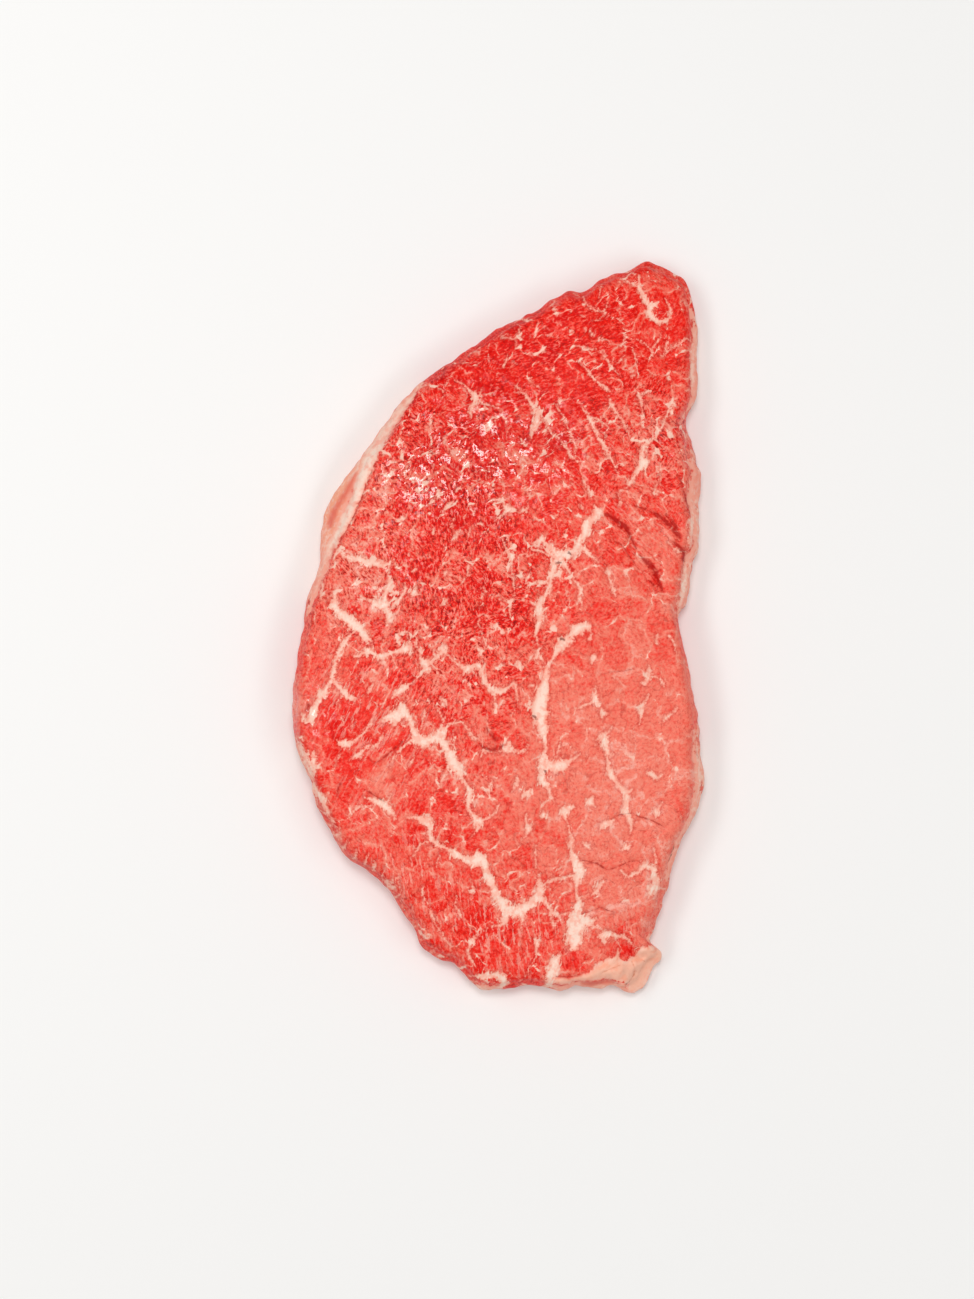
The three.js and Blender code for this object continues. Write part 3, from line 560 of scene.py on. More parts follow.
         (3.9, 17.8, 0.8),
         (4.2, 15, 0.7), (4.7, 12, 0.5), (4.9, 9.8, 0.6), (3.7, 8, 1.5), (3.4, 6.4, 0.8), (3.7, 3.6, 0.8)],
        [(3.4, 8, 0.9), (1.8, 8.7, 0.5), (0.2, 9.1, 0.5)],
        [(4.4, 16, 0.4), (7, 16, 0.5), (9, 16.4, 0.8), (10.3, 16.8, 0.3)],
        [(-5.8, 3.2, 0.4), (-6, 1.5, 0.7), (-5.6, -0.5, 0.7), (-4.8, -2.4, 0.7), (-4.1, -4, 1.2), (-4, -5.2, 0.3)],
        [(-21.2, 37.2, 0.5), (-19.6, 38.5, 1.1), (-18, 40, 0.9), (-17.3, 41, 0.3)],
        [(-17, 35, 0.4), (-16, 36.2, 0.9), (-14.6, 37.4, 1.3), (-13.6, 38.2, 0.4)],
        [(-12.8, 41.6, 0.4), (-11.8, 42.2, 1.2), (-11.4, 43, 0.4)],
        [(-14.4, 30.6, 0.6), (-14, 31.8, 1), (-13.4, 33, 0.4)],
        [(-13.2, 29.2, 0.5), (-12.2, 28.4, 1.4), (-12.6, 26.9, 0.7), (-14.2, 26.4, 0.6)],
        [(-6.5, 31.3, 0.5), (-5.4, 31.7, 1.2), (-4.6, 30.8, 0.5)],
        [(-8.6, 36.8, 0.3), (-7.6, 35.5, 0.9), (-7.6, 34.2, 0.3)],
        [(-19.8, 28.8, 0.6), (-19.3, 29.8, 1)],
        [(-8.5, 30.2, 0.4), (-9, 28.4, 0.6), (-9.5, 26.4, 0.4)],
        [(-9, 20.5, 0.4), (-9.2, 17.4, 0.7), (-9.6, 15.6, 0.4)],
        [(-30, 32.6, 0.9), (-29.1, 33.3, 1.7)],
        [(-25.8, 17.2, 0.8), (-25, 17.8, 1.4)],
        [(-16.4, 16.4, 0.8), (-15.6, 16.9, 1.3)],
        [(-5.5, 6.8, 0.4), (-5, 7.5, 0.8)],
        [(-3.7, 10.6, 0.8), (-4.7, 12.7, 0.3)],
        [(-2.5, 49.8, 0.4), (-1.6, 50.5, 1.1), (-1, 51.5, 0.3)],
        [(-7.3, 47, 0.3), (-5.5, 47.9, 0.6), (-3, 47.3, 0.4), (-1.2, 47.8, 0.5)],
    ],
    "tip": [
        [(42.3, 106, 0.9), (42.5, 102.8, 1.3), (43.4, 100.8, 1.5), (44.5, 98.5, 1.7), (45.9, 96.5, 2.1),
         (45.6, 95, 1.6),
         (46.5, 93.4, 1.6), (48, 92.6, 1.5), (50, 92.8, 1.2), (51.5, 93.6, 1), (51.8, 95.5, 0.9), (51.4, 97.5, 0.7),
         (50.5, 99.5, 0.4)],
        [(36, 104.7, 0.4), (38.5, 105, 0.7), (41.5, 103.5, 1)],
        [(25.8, 101, 0.4), (26.2, 98.5, 0.7), (27.8, 96.4, 0.8), (31.5, 95.8, 0.9), (32.6, 97, 0.6), (33, 98.3, 0.4)],
        [(32.3, 95.2, 0.6), (30, 92.8, 0.5), (28.5, 92.6, 0.3)],
        [(31.2, 104.5, 0.4), (30.5, 102, 0.5), (30.6, 99.7, 0.3)],
        [(27.6, 89.7, 1.1), (28.3, 88.5, 1.1)],
        [(37.9, 90.3, 0.7), (38.6, 89.7, 1)],
        [(51, 75.8, 0.9), (51.6, 75.2, 1.1)],
        [(38, 87.5, 0.5), (37.3, 85.3, 0.9)],
        [(23.5, 85.2, 0.5), (25.5, 85, 0.8), (27.5, 84.2, 0.8), (29.8, 84, 0.7), (31.5, 82.5, 0.4), (33.2, 80.5, 0.6),
         (34, 78.6, 0.9), (35.5, 77.2, 0.5), (36.5, 76, 0.3)],
        [(36, 80.3, 0.6), (37, 81.5, 0.8), (38.3, 82.3, 0.5)],
        [(40.2, 84, 0.6), (41, 82.8, 0.8), (41.5, 81.5, 0.6), (42.3, 80, 0.4)],
        [(41.5, 87.2, 0.5), (43.5, 86.3, 0.6), (45.3, 85, 0.6), (46.2, 83.8, 0.6), (46.8, 83, 0.8), (46.3, 82.2, 0.5),
         (45, 81, 0.4)],
        [(46.5, 84.5, 0.5), (47.5, 86.3, 0.6), (48.5, 87.5, 0.6), (49.3, 88.8, 0.3)],
        [(50.2, 83.8, 0.6), (51, 86.3, 0.9)],
        [(48.8, 82, 0.4), (50.2, 82.8, 0.6), (52, 84.5, 0.7), (54, 86, 0.7), (56.5, 87.5, 0.7), (58, 87.2, 0.5)],
        [(40, 76, 0.8), (41, 76.4, 0.8)],
    ],
    "straight edge": [
        [(59.9, -34, 0.8), (61.2, -38.5, 1.6), (61.5, -43, 2), (61.3, -47, 1.6), (60, -51.5, 0.8)],
        [(59.4, 93.8, 0.9), (59.6, 88, 1.2), (59.4, 82, 1.2), (58.9, 77, 1.7), (58.8, 74, 1.4), (59, 70, 0.8)],
        [(58.5, 37, 1.2), (58.4, 33, 1.8), (58, 28, 1.8), (57.6, 25, 1)],
        [(56.6, 20, 1.4), (56.8, 16, 2.2), (56.2, 12, 2.6), (55.5, 8, 2), (55.2, 5, 1.2), (55, 3, 0.8)],
        [(51, 26, 0.5), (52.4, 24.4, 0.7), (53.8, 23.4, 1.3)],
    ],
}
# The white layer of the fat cap, and the flap of fat that folds up over the foot and ends in the tag.
FLAPS = [
    [(-25.5, 70.5, 1.6), (-31.5, 62.8, 2.6), (-37.8, 54, 4), (-39.4, 50, 4.2), (-41.2, 45, 3.6), (-42.7, 40, 3.2),
     (-45, 35, 3.2), (-47.5, 30, 3.2), (-50.2, 25, 2.8), (-52.7, 20, 2), (-56, 13.5, 1)],
    [(21.5, -105, 1), (24, -104.8, 1.6), (27, -104.3, 2.6), (30, -103, 4), (32.5, -102, 5.8), (35, -102, 7.2),
     (37.5, -102.8, 6.4),
     (40, -102.8, 6.8), (42, -101.2, 7.4), (44.5, -98.6, 6.8), (46.8, -97.9, 4.8)],
    [(42, -102, 6), (41.5, -105.5, 5.4), (40.7, -107.5, 4)],
    [(35.4, -98.5, 1.6), (35.7, -95.8, 0.5)],
    [(45.4, -101, 1.5), (45.8, -103.8, 0.5)],
    [(25, -107.2, 1.2), (28, -107.4, 1.4), (31, -106.9, 1.2), (35, -106.6, 1.2), (37.5, -106.7, 1.4)],
    [(17.5, -105.3, 1.7), (21, -105.5, 1.7)],
]
# Red meat that shows between the layers of fat.
LEAN_STREAKS = [
    [(-43, 46.5, 0.5), (-44.6, 43, 1), (-46.4, 40, 1.3), (-48, 37.5, 1.2), (-49.6, 34.5, 1.6), (-50.6, 32, 1.2),
     (-50.8, 30.5, 0.4)],
    [(25.2, -106, 0.5), (27.5, -106.3, 1.2), (30, -105.7, 0.9), (34.2, -105.7, 0.4)],
]
# Creases where bundles part, sunk a little and painted darker than the lean as shade in the groove; a few short ones
# are pits in the seams and folds of the flap, painted dark as shade too.
CREASES = [
    [(32.4, 34.4, 0.8), (34.4, 33.6, 1.2), (37, 31.5, 1.5), (38.7, 29.7, 1.2), (40.1, 26.6, 0.8), (41.4, 24.2, 0.6)],
    [(42.6, 22.2, 0.6), (44, 20.6, 1), (45.8, 18.7, 1.4), (47.2, 16.7, 1.3), (48.2, 14.2, 1), (49.3, 11.5, 0.6)],
    [(45, 14.5, 0.5), (46.8, 13, 0.8)],
    [(41, 37, 0.5), (44.2, 36, 0.6), (47.2, 34.5, 0.9), (50.1, 32.4, 1.2), (52.2, 30.2, 1.3), (54.7, 27.4, 1)],
    [(50.6, 34.6, 0.5), (52.4, 32.2, 0.7), (53.8, 30, 0.8)],
    [(51.8, 26.6, 0.5), (53.2, 25.4, 0.8), (54.8, 24.2, 0.9), (55.6, 22.7, 1.2), (55.7, 20.6, 1.2)],
    [(54.4, 46, 0.4), (55.3, 43.5, 0.6), (56.2, 40, 0.7), (57, 37, 0.8), (57.6, 34.4, 0.5)],
    [(34.6, 27.6, 0.3), (37.4, 24.6, 0.5), (40, 20.8, 0.5), (42.4, 17.6, 0.4)],
    [(-3.8, -29.5, 0.5), (-2, -32, 0.9), (-0.6, -34, 0.7)],
    [(-6, -33.8, 0.4), (-5, -35.5, 0.7), (-3, -36.3, 0.8), (0, -36.5, 0.8), (1.4, -35, 0.6)],
    [(-28, -33.4, 0.4), (-30, -35, 0.6), (-32.4, -37, 0.6), (-35, -39.4, 0.7), (-36.6, -40.2, 0.4)],
    [(-40, -48.4, 0.4), (-38, -49.5, 0.6), (-36, -51, 0.6), (-34.5, -51.8, 0.4)],
    [(-46.8, -45, 0.3), (-47.5, -46.8, 0.7), (-48.2, -49, 0.6)],
    [(-57, -23, 0.9), (-57.6, -24.6, 0.9)],
    [(-48.1, 16.1, 0.5), (-47, 16.4, 0.7)],
    [(16.8, -14.2, 0.5), (18.5, -13.6, 0.4), (20.5, -12.8, 0.3)],
    [(31, -13.8, 0.5), (33.5, -13, 0.3), (38, -12.7, 0.4), (41.5, -11.7, 0.2)],
    [(31.6, -20.2, 0.5), (33.2, -19.7, 0.4), (35, -18.4, 0.3)],
    [(33, -24.8, 0.5), (35.3, -24.5, 0.3)],
    [(33.6, -57.4, 0.3), (36.4, -55.6, 0.5), (40.2, -55.4, 0.5), (43.5, -56.8, 0.6), (46, -57.6, 0.5),
     (49.8, -59.6, 0.4)],
    [(52.9, -65, 0.5), (52.4, -67, 0.8), (51.5, -70, 0.4)],
    [(24.2, -69, 0.5), (27, -69.8, 0.5), (30, -70.6, 0.6), (32.8, -72.2, 0.6), (36, -71.4, 0.5), (39.5, -69.6, 0.6),
     (42, -69.8, 0.3)],
    [(24.8, -85.4, 0.5), (28, -84.4, 0.3), (30.6, -83.4, 0.6), (32.6, -84.4, 0.5), (35.6, -85.2, 0.4)],
    [(-37.3, 49.5, 0.3), (-39.4, 44.3, 0.4), (-41.1, 39.4, 0.5), (-43.4, 34.3, 0.5), (-45.9, 29.3, 0.4),
     (-48.7, 24.6, 0.3)],
    [(21.1, 23.1, 0.9), (21.6, 22.2, 0.9)],
    [(17.4, 19.8, 0.8), (18.8, 19.9, 0.8)],
    [(18.9, -3.3, 1), (19.7, -3.6, 0.9)],
    [(10.5, -26.5, 1.2), (11.3, -26.9, 1)],
    [(13.9, -42.8, 0.8), (14.1, -43.4, 0.7)],
    [(30.8, -103.2, 0.3), (33.6, -101.5, 0.5), (36.4, -100.6, 0.3)],
    [(39.9, -99.7, 0.4), (41, -102.5, 0.7), (39.5, -105.5, 0.5), (38, -106.6, 0.4)],
    [(43, -99, 0.6), (43.6, -99.5, 0.6)],
    [(17, -104.1, 0.4), (21, -104.2, 0.4)],
]

# The camera hangs almost straight over the slice, a little towards its foot. The marbling is drawn as seen from
# there, in the plane halfway up the wall.
CAMERA_DISTANCE = 1000
CAMERA_TILT = math.radians(2.5)
SEEN_PLANE = 7
AIM = np.array([-3.45, -6.3, SEEN_PLANE])
CAMERA_PLACE = AIM + CAMERA_DISTANCE * np.array([0, -math.sin(CAMERA_TILT), math.cos(CAMERA_TILT)])


def seen_at(points):
    """Where points show in the seen plane, along the sight lines from the camera."""
    share = (CAMERA_PLACE[2] - SEEN_PLANE) / (CAMERA_PLACE[2] - points[:, 2])
    return CAMERA_PLACE[:2] + (points[:, :2] - CAMERA_PLACE[:2]) * share[:, None]


# Down through the slice the marbling slants and strays from how it lies on the cut face.
SLANT = np.array([0.28, -0.2])
STRAYING = 1.6
STRAYING_DEPTH = 12
OUT_OF_REACH = 50
lifted = np.column_stack([places[:, :2], face_height(places[:, :2])])
depth = np.maximum(0, lifted[:, 2] - TOP_EDGE_RADIUS - places[:, 2])
strayed = np.column_stack([ripples(places, 17, 3), ripples(places, 15, 4)])
strayed *= (smooth(depth, 0, STRAYING_DEPTH) * STRAYING)[:, None]
marbled = seen_at(lifted) + SLANT * depth[:, None] + strayed
seen = seen_at(places)

all_seams = [chain for group in SEAMS.values() for chain in group]
seam_offset, seam_width, seam_gap = nearest_on_chains(marbled, all_seams)
flap_offset, flap_width, flap_gap = nearest_on_chains(seen, FLAPS)
flap_gap = np.where(on_low, OUT_OF_REACH, flap_gap)
flap_first = flap_gap < seam_gap
seam_offset = np.where(flap_first[:, None], flap_offset, seam_offset)
seam_width = np.where(flap_first, flap_width, seam_width)
seam_gap = np.minimum(flap_gap, seam_gap)
# Strokes of fat are ragged, and cleaner in the cap, the flap and the blade of fat beside the right head.
SMOOTH_EDGED = [(13.5, -22, 9, 0.9), (22, -2, 7, 0.5), (38, -44, 18, 0.35)]
SMOOTHEST = 0.85
FLAP_RAGGEDNESS = 0.3
ragged = np.where(flap_first, FLAP_RAGGEDNESS, 1 - np.clip(humps(marbled, SMOOTH_EDGED), 0, SMOOTHEST))
crease_offset, crease_width, crease_gap = nearest_on_chains(marbled, CREASES)
crease_gap = np.where(on_low, OUT_OF_REACH, crease_gap)
streak_gap = np.where(on_low, OUT_OF_REACH, nearest_on_chains(seen, LEAN_STREAKS)[2])


BUNDLE_SPACING = 4.2
BUNDLE_JITTER = 0.75
SMALLEST_BUNDLE = 4.8
WIDER_BELOW, WIDER_RIGHT = 2.6, 2
SEEDS_APART = (2.6, 5.2)
SEED_BESIDE_SEAM = (1.6, 2.6)
MOST_SEEDS = 40
CLEAR_OF_SEAM = 3.4


def bundle_seeds(seed):
    """Middles of the bundles of lean: scattered points, wider apart towards the foot, where bundles are wider, and
    points either side of every drawn seam, so that bundles meet along the seams."""
    rng = np.random.default_rng(seed)
    lines = np.arange(-75, 76, BUNDLE_SPACING), np.arange(-125, 126, BUNDLE_SPACING)
    grid = np.stack(np.meshgrid(*lines), axis=-1).reshape(-1, 2)
    grid = grid + rng.uniform(-BUNDLE_JITTER, BUNDLE_JITTER, grid.shape) * BUNDLE_SPACING
    wanted = SMALLEST_BUNDLE + WIDER_BELOW * smooth(grid[:, 1], 35, -25)
    wanted += WIDER_RIGHT * smooth(grid[:, 0], 10, 40) * smooth(grid[:, 1], 40, 0)
    grid = grid[rng.uniform(size=len(grid)) < (BUNDLE_SPACING / wanted) ** 2]
    pairs = []
    for chain in all_seams:
        knots = np.array(chain, float)
        run = np.concatenate([[0], np.cumsum(np.linalg.norm(np.diff(knots[:, :2], axis=0), axis=1))])
        for side in (-1, 1):
            at = np.cumsum(rng.uniform(*SEEDS_APART, MOST_SEEDS))
            at = at[at < run[-1]]
            spot, ahead = (
                np.column_stack([np.interp(at + d, run, knots[:, k]) for k in (0, 1)]) for d in (-0.2, 0.2))
            ahead -= spot
            normal = np.column_stack([-ahead[:, 1], ahead[:, 0]]) / np.maximum(np.hypot(*ahead.T), 1e-6)[:, None]
            beside = np.interp(at, run, knots[:, 2]) / 2 + rng.uniform(*SEED_BESIDE_SEAM, len(at))
            pairs.append(spot + normal * side * beside[:, None])
    clear = nearest_on_chains(grid, all_seams)[2] > CLEAR_OF_SEAM
    return np.concatenate([grid[clear]] + pairs)


POINTS_AT_ONCE = 4000


def bundle_edges(points, seeds, seed):
    """For every point, the way to the nearest edge of its bundle and how far the next edge is, with numbers that
    are the edge's own, the corner's own and the bundle's own. Edges lie halfway between two seeds."""
    lot = np.random.default_rng(seed).uniform(size=len(seeds))
    way, next_edge, lots = np.empty((len(points), 2)), np.empty(len(points)), np.empty((len(points), 3))
    for part in np.array_split(np.arange(len(points)), max(1, len(points) // POINTS_AT_ONCE)):
        square = ((points[part, None, :] - seeds[None, :, :]) ** 2).sum(axis=2)
        three = np.argpartition(square, 2, axis=1)[:, :3]
        near = np.take_along_axis(square, three, axis=1)
        order = np.argsort(near, axis=1)
        three, near = (np.take_along_axis(table, order, axis=1) for table in (three, near))
        across = seeds[three[:, 1:]] - seeds[three[:, :1]]
        span = np.linalg.norm(across, axis=2)
        gaps = (near[:, 1:] - near[:, :1]) / (2 * span)
        way[part] = across[:, 0] * (gaps[:, 0] / span[:, 0])[:, None]
        next_edge[part] = gaps[:, 1]
        drawn = lot[three]
        lots[part, 0] = (np.sin(drawn[:, :2].sum(axis=1) * 971) * 43.7) % 1
        lots[part, 1] = (np.sin(drawn.sum(axis=1) * 613) * 57.1) % 1
        lots[part, 2] = drawn[:, 0]
    return way, next_edge, lots


bend = 0.75 * np.column_stack([ripples(places, 7, 5), ripples(places, 7, 6)])
bend += 0.35 * np.column_stack([ripples(places, 3, 7), ripples(places, 3, 8)])
bundle_way, next_edge, lots = bundle_edges(marbled + bend, bundle_seeds(11), 12)
bundle_gap = np.hypot(bundle_way[:, 0], bundle_way[:, 1])

# Fat and skin round the wall: x, y, reach and strength of each stretch that is covered.
COVERED = [
    (-49, 36, 17, 1.6), (-36, 58, 13, 1.3), (-25, 72, 5, 0.7), (-55, 14, 9, 0.8), (60, 84, 11, 1), (59, 69, 5, 0.9),
    (60.5, 42, 8, 1), (59.5, 28, 7, 1),
    (57.5, 14, 7, 1), (62, -42, 10, 1.1), (59, -56, 6, 0.9), (54, -70, 8, 0.75), (44, -102, 10, 1.6),
    (27, -107, 12, 1.2), (-3, -107, 6, 0.9), (-57, -44, 9, 0.5),
]
wall_rim = place_on_slice(np.ones(len(share)), share, middle, np.ones(len(share)))[0]
cover = humps(wall_rim, COVERED)
LOWER_EDGE_DEPTH = 12
below_edge = np.where(on_low, LOWER_EDGE_DEPTH - from_edge, wall_rim[:, 2] - places[:, 2])
below_edge = np.where(on_top, -from_edge, below_edge)

# Low relief: bundles of lean swell a little, seams and creases sink, and the flap of fat is lumpy.
LEAN_SWELLS, SEAMS_SINK, CREASES_SINK = 0.22, 0.3, 0.25
lean_swell = LEAN_SWELLS * smooth(bundle_gap, 0, 2.2) * (0.35 + 0.65 * lots[:, 2])
sunk_seams = -SEAMS_SINK * smooth(seam_gap, 0.7, -0.5)
sunk_creases = -CREASES_SINK * smooth(crease_gap, 0.9, -0.2)
on_flap = smooth(nearest_on_chains(seen, FLAPS[1:])[2], 0.3, -1.2) * ~on_low
lumps = on_flap * (0.7 + 0.45 * ripples(places, 6, 21) + 0.25 * ripples(places, 3, 22))
uneven = 0.14 * ripples(places, 6, 23) + 0.07 * ripples(places, 2.6, 24)
inside_edge = smooth(from_edge, 0, 2.5)
relief = np.where(on_top, (lean_swell + sunk_seams + sunk_creases + uneven) * inside_edge + lumps, 0)
places[:, 2] += relief
outward = wall_rim[:, :2] - spine_at(middle)
outward /= np.linalg.norm(outward, axis=1)[:, None]
wall_relief = 0.12 * ripples(places, 7, 25) + 0.06 * ripples(places, 2.8, 26)
near_wall = np.where(on_low, 0, np.where(on_top, smooth(from_edge, 3, 0), 1)) * smooth(places[:, 2], 0.5, 4)
places[:, :2] += outward * (wall_relief * near_wall)[:, None]

# Zones of the lean, as humps: how pale it is, how wet it lies, how crinkled it is, and for each angle in degrees
# where fibres lie along the cut at it.
PALENESS = [
    (10, 78, 34, -0.5), (38, 92, 18, -0.1), (-5, 12, 24, -0.15), (40, -32, 34, 0.42), (34, -62, 26, 0.25),
    (46, 22, 20, 0.15),
    (-50, 2, 20, 0.17), (-11, -50, 13, -0.12), (0, -98, 16, -0.25), (38, -84, 14, 0.35), (-8, 48, 20, -0.12),
    (-24, 46, 14, -0.14), (-10, -48, 16, 0.1), (-44, -32, 14, -0.2), (45, 62, 16, 0.2),
]
WETNESS = [
    (-8, 52, 16, 0.9), (-27, 46, 10, 0.9), (12, 55, 12, 0.75), (54, 58, 7, 0.6), (-59, -25, 8, 0.8), (-35, 15, 14, 0.3),
]
CRINKLED = [
    (-18, 48, 24, 0.75), (-38, 15, 18, 0.65), (-8, 10, 22, 0.75), (45, 58, 16, 0.5), (-12, -18, 18, 0.4),
    (42, -40, 40, -0.2), (-12, -46, 9, 0.3), (-40, -35, 22, -0.2), (20, 85, 24, 0.15),
]
# Soft patches of paler and of redder lean, and pale spots that are painted glints of the wet film: x, y, reach and how
# much paler.
PATCHES_AND_GLINTS = [
    # The spot at (-26, 48) is a painted glint of the wet film.
    (-35, 41.5, 2.2, 0.6), (-33, 38.5, 2.2, 0.55), (-26, 48, 3.2, 0.5), (-36.3, 26.3, 1.3, 0.5),
    (-38.3, 31.3, 1.3, 0.5),
    (-41.3, 30.2, 1.3, 0.5), (-44, 26, 2, 0.4), (-20.6, 16, 1.2, 0.4), (-23.2, 3, 1.6, 0.35), (-8.8, -0.2, 1.5, 0.4),
    (38.9, 55.2, 1, 0.4), (26.8, 51.8, 1.3, 0.5), (28, 50.3, 1, 0.4), (31, 46.3, 1.1, 0.45), (45.7, 31.5, 1.2, 0.35),
    (38.7, 20.5, 1, 0.35), (41.7, 10.5, 1.2, 0.35), (49.5, 6.2, 1.3, 0.5), (51, 26.2, 1.2, 0.4), (-6, -45, 1, 0.4),
    (26, -45.2, 1, 0.4), (32.5, -54, 1, 0.35), (17.6, -56.5, 1, 0.35), (27, -65, 1, 0.4), (45.5, -66.2, 1.4, 0.4),
    (10.7, -67.3, 1, 0.35), (0.8, -61.5, 0.9, 0.35), (6.7, -94, 1.2, 0.4), (34.1, 90.5, 0.9, 0.5),
    (44.3, 89.2, 0.9, 0.4),
    # From here to the spot at (19, 42) the pale spots are painted glints, where the wet film shines.
    (-10.5, 51.3, 2.2, 0.9), (-13.5, 53, 1.8, 0.8), (1.6, 52.8, 1.3, 0.9), (5.3, 52.2, 1.5, 0.9), (7.6, 51.2, 1.4, 0.8),
    (0.4, 55.4, 1.3, 0.8), (7.2, 47.6, 1.3, 0.6), (14.5, 47, 1.3, 0.6), (-20.8, 46, 1.4, 0.8), (-17.2, 48.8, 1.2, 0.6),
    (8.2, 41.8, 1, 0.8), (17, 41.7, 1.4, 0.6), (19, 42, 1.1, 0.5), (-43.3, 16.8, 2, 0.5), (-42.8, 12, 1.7, 0.5),
    (-36.8, 15, 1.3, 0.4), (-48, 11.8, 1.2, 0.4), (16.8, -43, 1.6, 0.5), (30, -13.4, 0.9, 0.5), (24.3, -27, 0.9, 0.45),
    (-12.5, -24.3, 1.2, 0.45), (-6, -24, 1.2, 0.5), (-6.8, -25.8, 1, 0.4), (33.3, -83, 1.2, 0.4), (37, -84, 0.9, 0.3),
    (41.8, -81.8, 1, 0.35), (-33, -41, 2.5, 0.3), (-35, -44, 3, 0.35), (-37, -47, 3, 0.3), (-34, -48.5, 3, 0.3),
    (4.5, 77.5, 2, 0.4), (-46.5, 40, 2.5, 0.4), (-49.5, 34, 2.5, 0.4), (-58.5, -24, 3, 0.5),
    (-26, 51, 3, -0.5), (-12.5, 47.5, 2, -0.4), (-18.5, 32.5, 2, -0.5), (-12.3, 31.8, 1.6, -0.7), (-14, 35, 1.5, -0.4),
    (-4.5, 15.5, 2, -0.4), (-6, 11.5, 1.5, -0.5), (-3, 12.5, 2, -0.45), (4.7, 18.5, 1.6, -0.45), (4, 2, 3, -0.35),
    (6.7, -1.5, 1.8, -0.5), (-22, 18, 2.5, -0.35), (-12.5, 12, 2, -0.35), (-13.8, -45.5, 1.9, -0.5),
    (-24, -53.7, 2.5, -0.35),
    (-14, -62, 2, -0.35), (-25, -61.5, 2.6, -0.4), (23, -99, 4, -0.3), (39, -96.8, 2, -0.7), (37.5, -92, 5, -0.4),
    (20, 57, 1.7, -0.45),
    (32.5, 58.5, 1.6, -0.45), (32, 49, 1.3, -0.4), (47.3, 56, 1.8, -0.35), (18, 93.5, 2, -0.3), (16.5, 83, 2.2, -0.35),
    (31.7, 84.3, 1.2, -0.35), (-17, 75.3, 3, -0.35), (-6.5, 73, 2.2, -0.3), (-25, 65, 3, -0.3), (25, 66.8, 1.6, -0.35),
    (37.5, 30.8, 1.4, -0.3), (46, 18.6, 1, -0.5), (47.5, 15, 1.3, -0.5), (-43.4, 4.6, 1.8, -0.7),
    (-53.6, -48.5, 1.4, -0.7),
    (-47.6, -28, 3, -0.35), (-47, -31, 2.4, -0.4), (49.1, 95.4, 1.2, -0.5), (-6.5, -17, 2.4, -0.4), (-5, -20, 2, -0.4),
]
FIBRES = {
    62: [(-42, -18, 16, 0.9), (-22, -24, 12, 0.7), (-35, -44, 16, 0.6), (-8, -50, 10, 0.3)],
    98: [(-28, -74, 16, 0.8), (-5, -92, 16, 0.8), (14, -92, 12, 0.6), (40, -88, 9, 0.6), (12, -70, 12, 0.3)],
    -42: [(42, 28, 16, 0.7), (50, 60, 10, 0.5), (28, 55, 16, 0.3)],
}
USUAL_PALENESS, USUAL_CRINKLES = 0.42, 0.3
paleness_and_glints = np.clip(USUAL_PALENESS + humps(marbled, PALENESS), 0, 1) + humps(marbled, PATCHES_AND_GLINTS)
wetness = np.clip(humps(marbled, WETNESS), 0, 1) * ~on_low
crinkled = np.clip(USUAL_CRINKLES + humps(marbled, CRINKLED), 0, 1)
fibres = np.column_stack([np.clip(humps(marbled, zones), 0, 1) for zones in FIBRES.values()])
# The way that the fibres of each bundle lie: one of the drawn angles, or across the slice.
ACROSS_SLICE, ALONG_SLICE = 15, 98
UPRIGHT = [(-26, 30, 24, 1), (-6, 22, 16, 0.8)]
LEVEL = [(22, 76, 24, 1)]
lay = np.floor(lots[:, 2] * (len(FIBRES) + 1)).astype(int)
lay[(humps(marbled, UPRIGHT) > 0.4) & (lots[:, 2] < 0.6)] = list(FIBRES).index(ALONG_SLICE) + 1
lay[(humps(marbled, LEVEL) > 0.4) & (lots[:, 2] > 0.3)] = 0
for k, zone in enumerate(fibres.T):
    lay[zone > 0.45] = k + 1
lies = np.eye(len(FIBRES) + 1)[lay][:, 1:]
streak = smooth(streak_gap, 0.9, -0.5)
ORANGE_CAP = [(-50, 38, 16, 0.9)]
orange = np.clip(on_flap + humps(places, ORANGE_CAP) * (below_edge > 1.5), 0, 1)

mesh = bpy.data.meshes.new("topside_slice_skin")
mesh.from_pydata(places * MM, [], quads.tolist() + triangles.tolist())
mesh.polygons.foreach_set("use_smooth", np.ones(len(mesh.polygons), bool))


def keep(name, values):
    """Stores one number, or three, for every point of the mesh."""
    values = np.asarray(values, np.float32)
    kind, field = ("FLOAT", "value") if values.ndim == 1 else ("FLOAT_VECTOR", "vector")
    mesh.attributes.new(name, kind, "POINT").data.foreach_set(field, values.ravel())


GAP_KEPT = (-5, 20)
KEPT = {
    "seam": np.column_stack([seam_offset, seam_width]), "seam_gap": np.clip(seam_gap, *GAP_KEPT), "ragged": ragged,
    "crease": np.column_stack([crease_offset, crease_width]), "crease_gap": np.clip(crease_gap, *GAP_KEPT),
    "bundle": np.column_stack([bundle_way, bundle_gap]), "next_edge": next_edge, "lots": lots, "cover": cover,
    "below_edge": below_edge, "paleness_and_glints": paleness_and_glints, "wetness": wetness, "crinkled": crinkled, "fibres": fibres,
    "lies": lies, "streak": streak, "orange": orange,
}
for name, values in KEPT.items():
    keep(name, values)
mesh.update()
mesh.validate()
slice_piece = bpy.data.objects.new("topside_slice_skin", mesh)
bpy.context.scene.collection.objects.link(slice_piece)


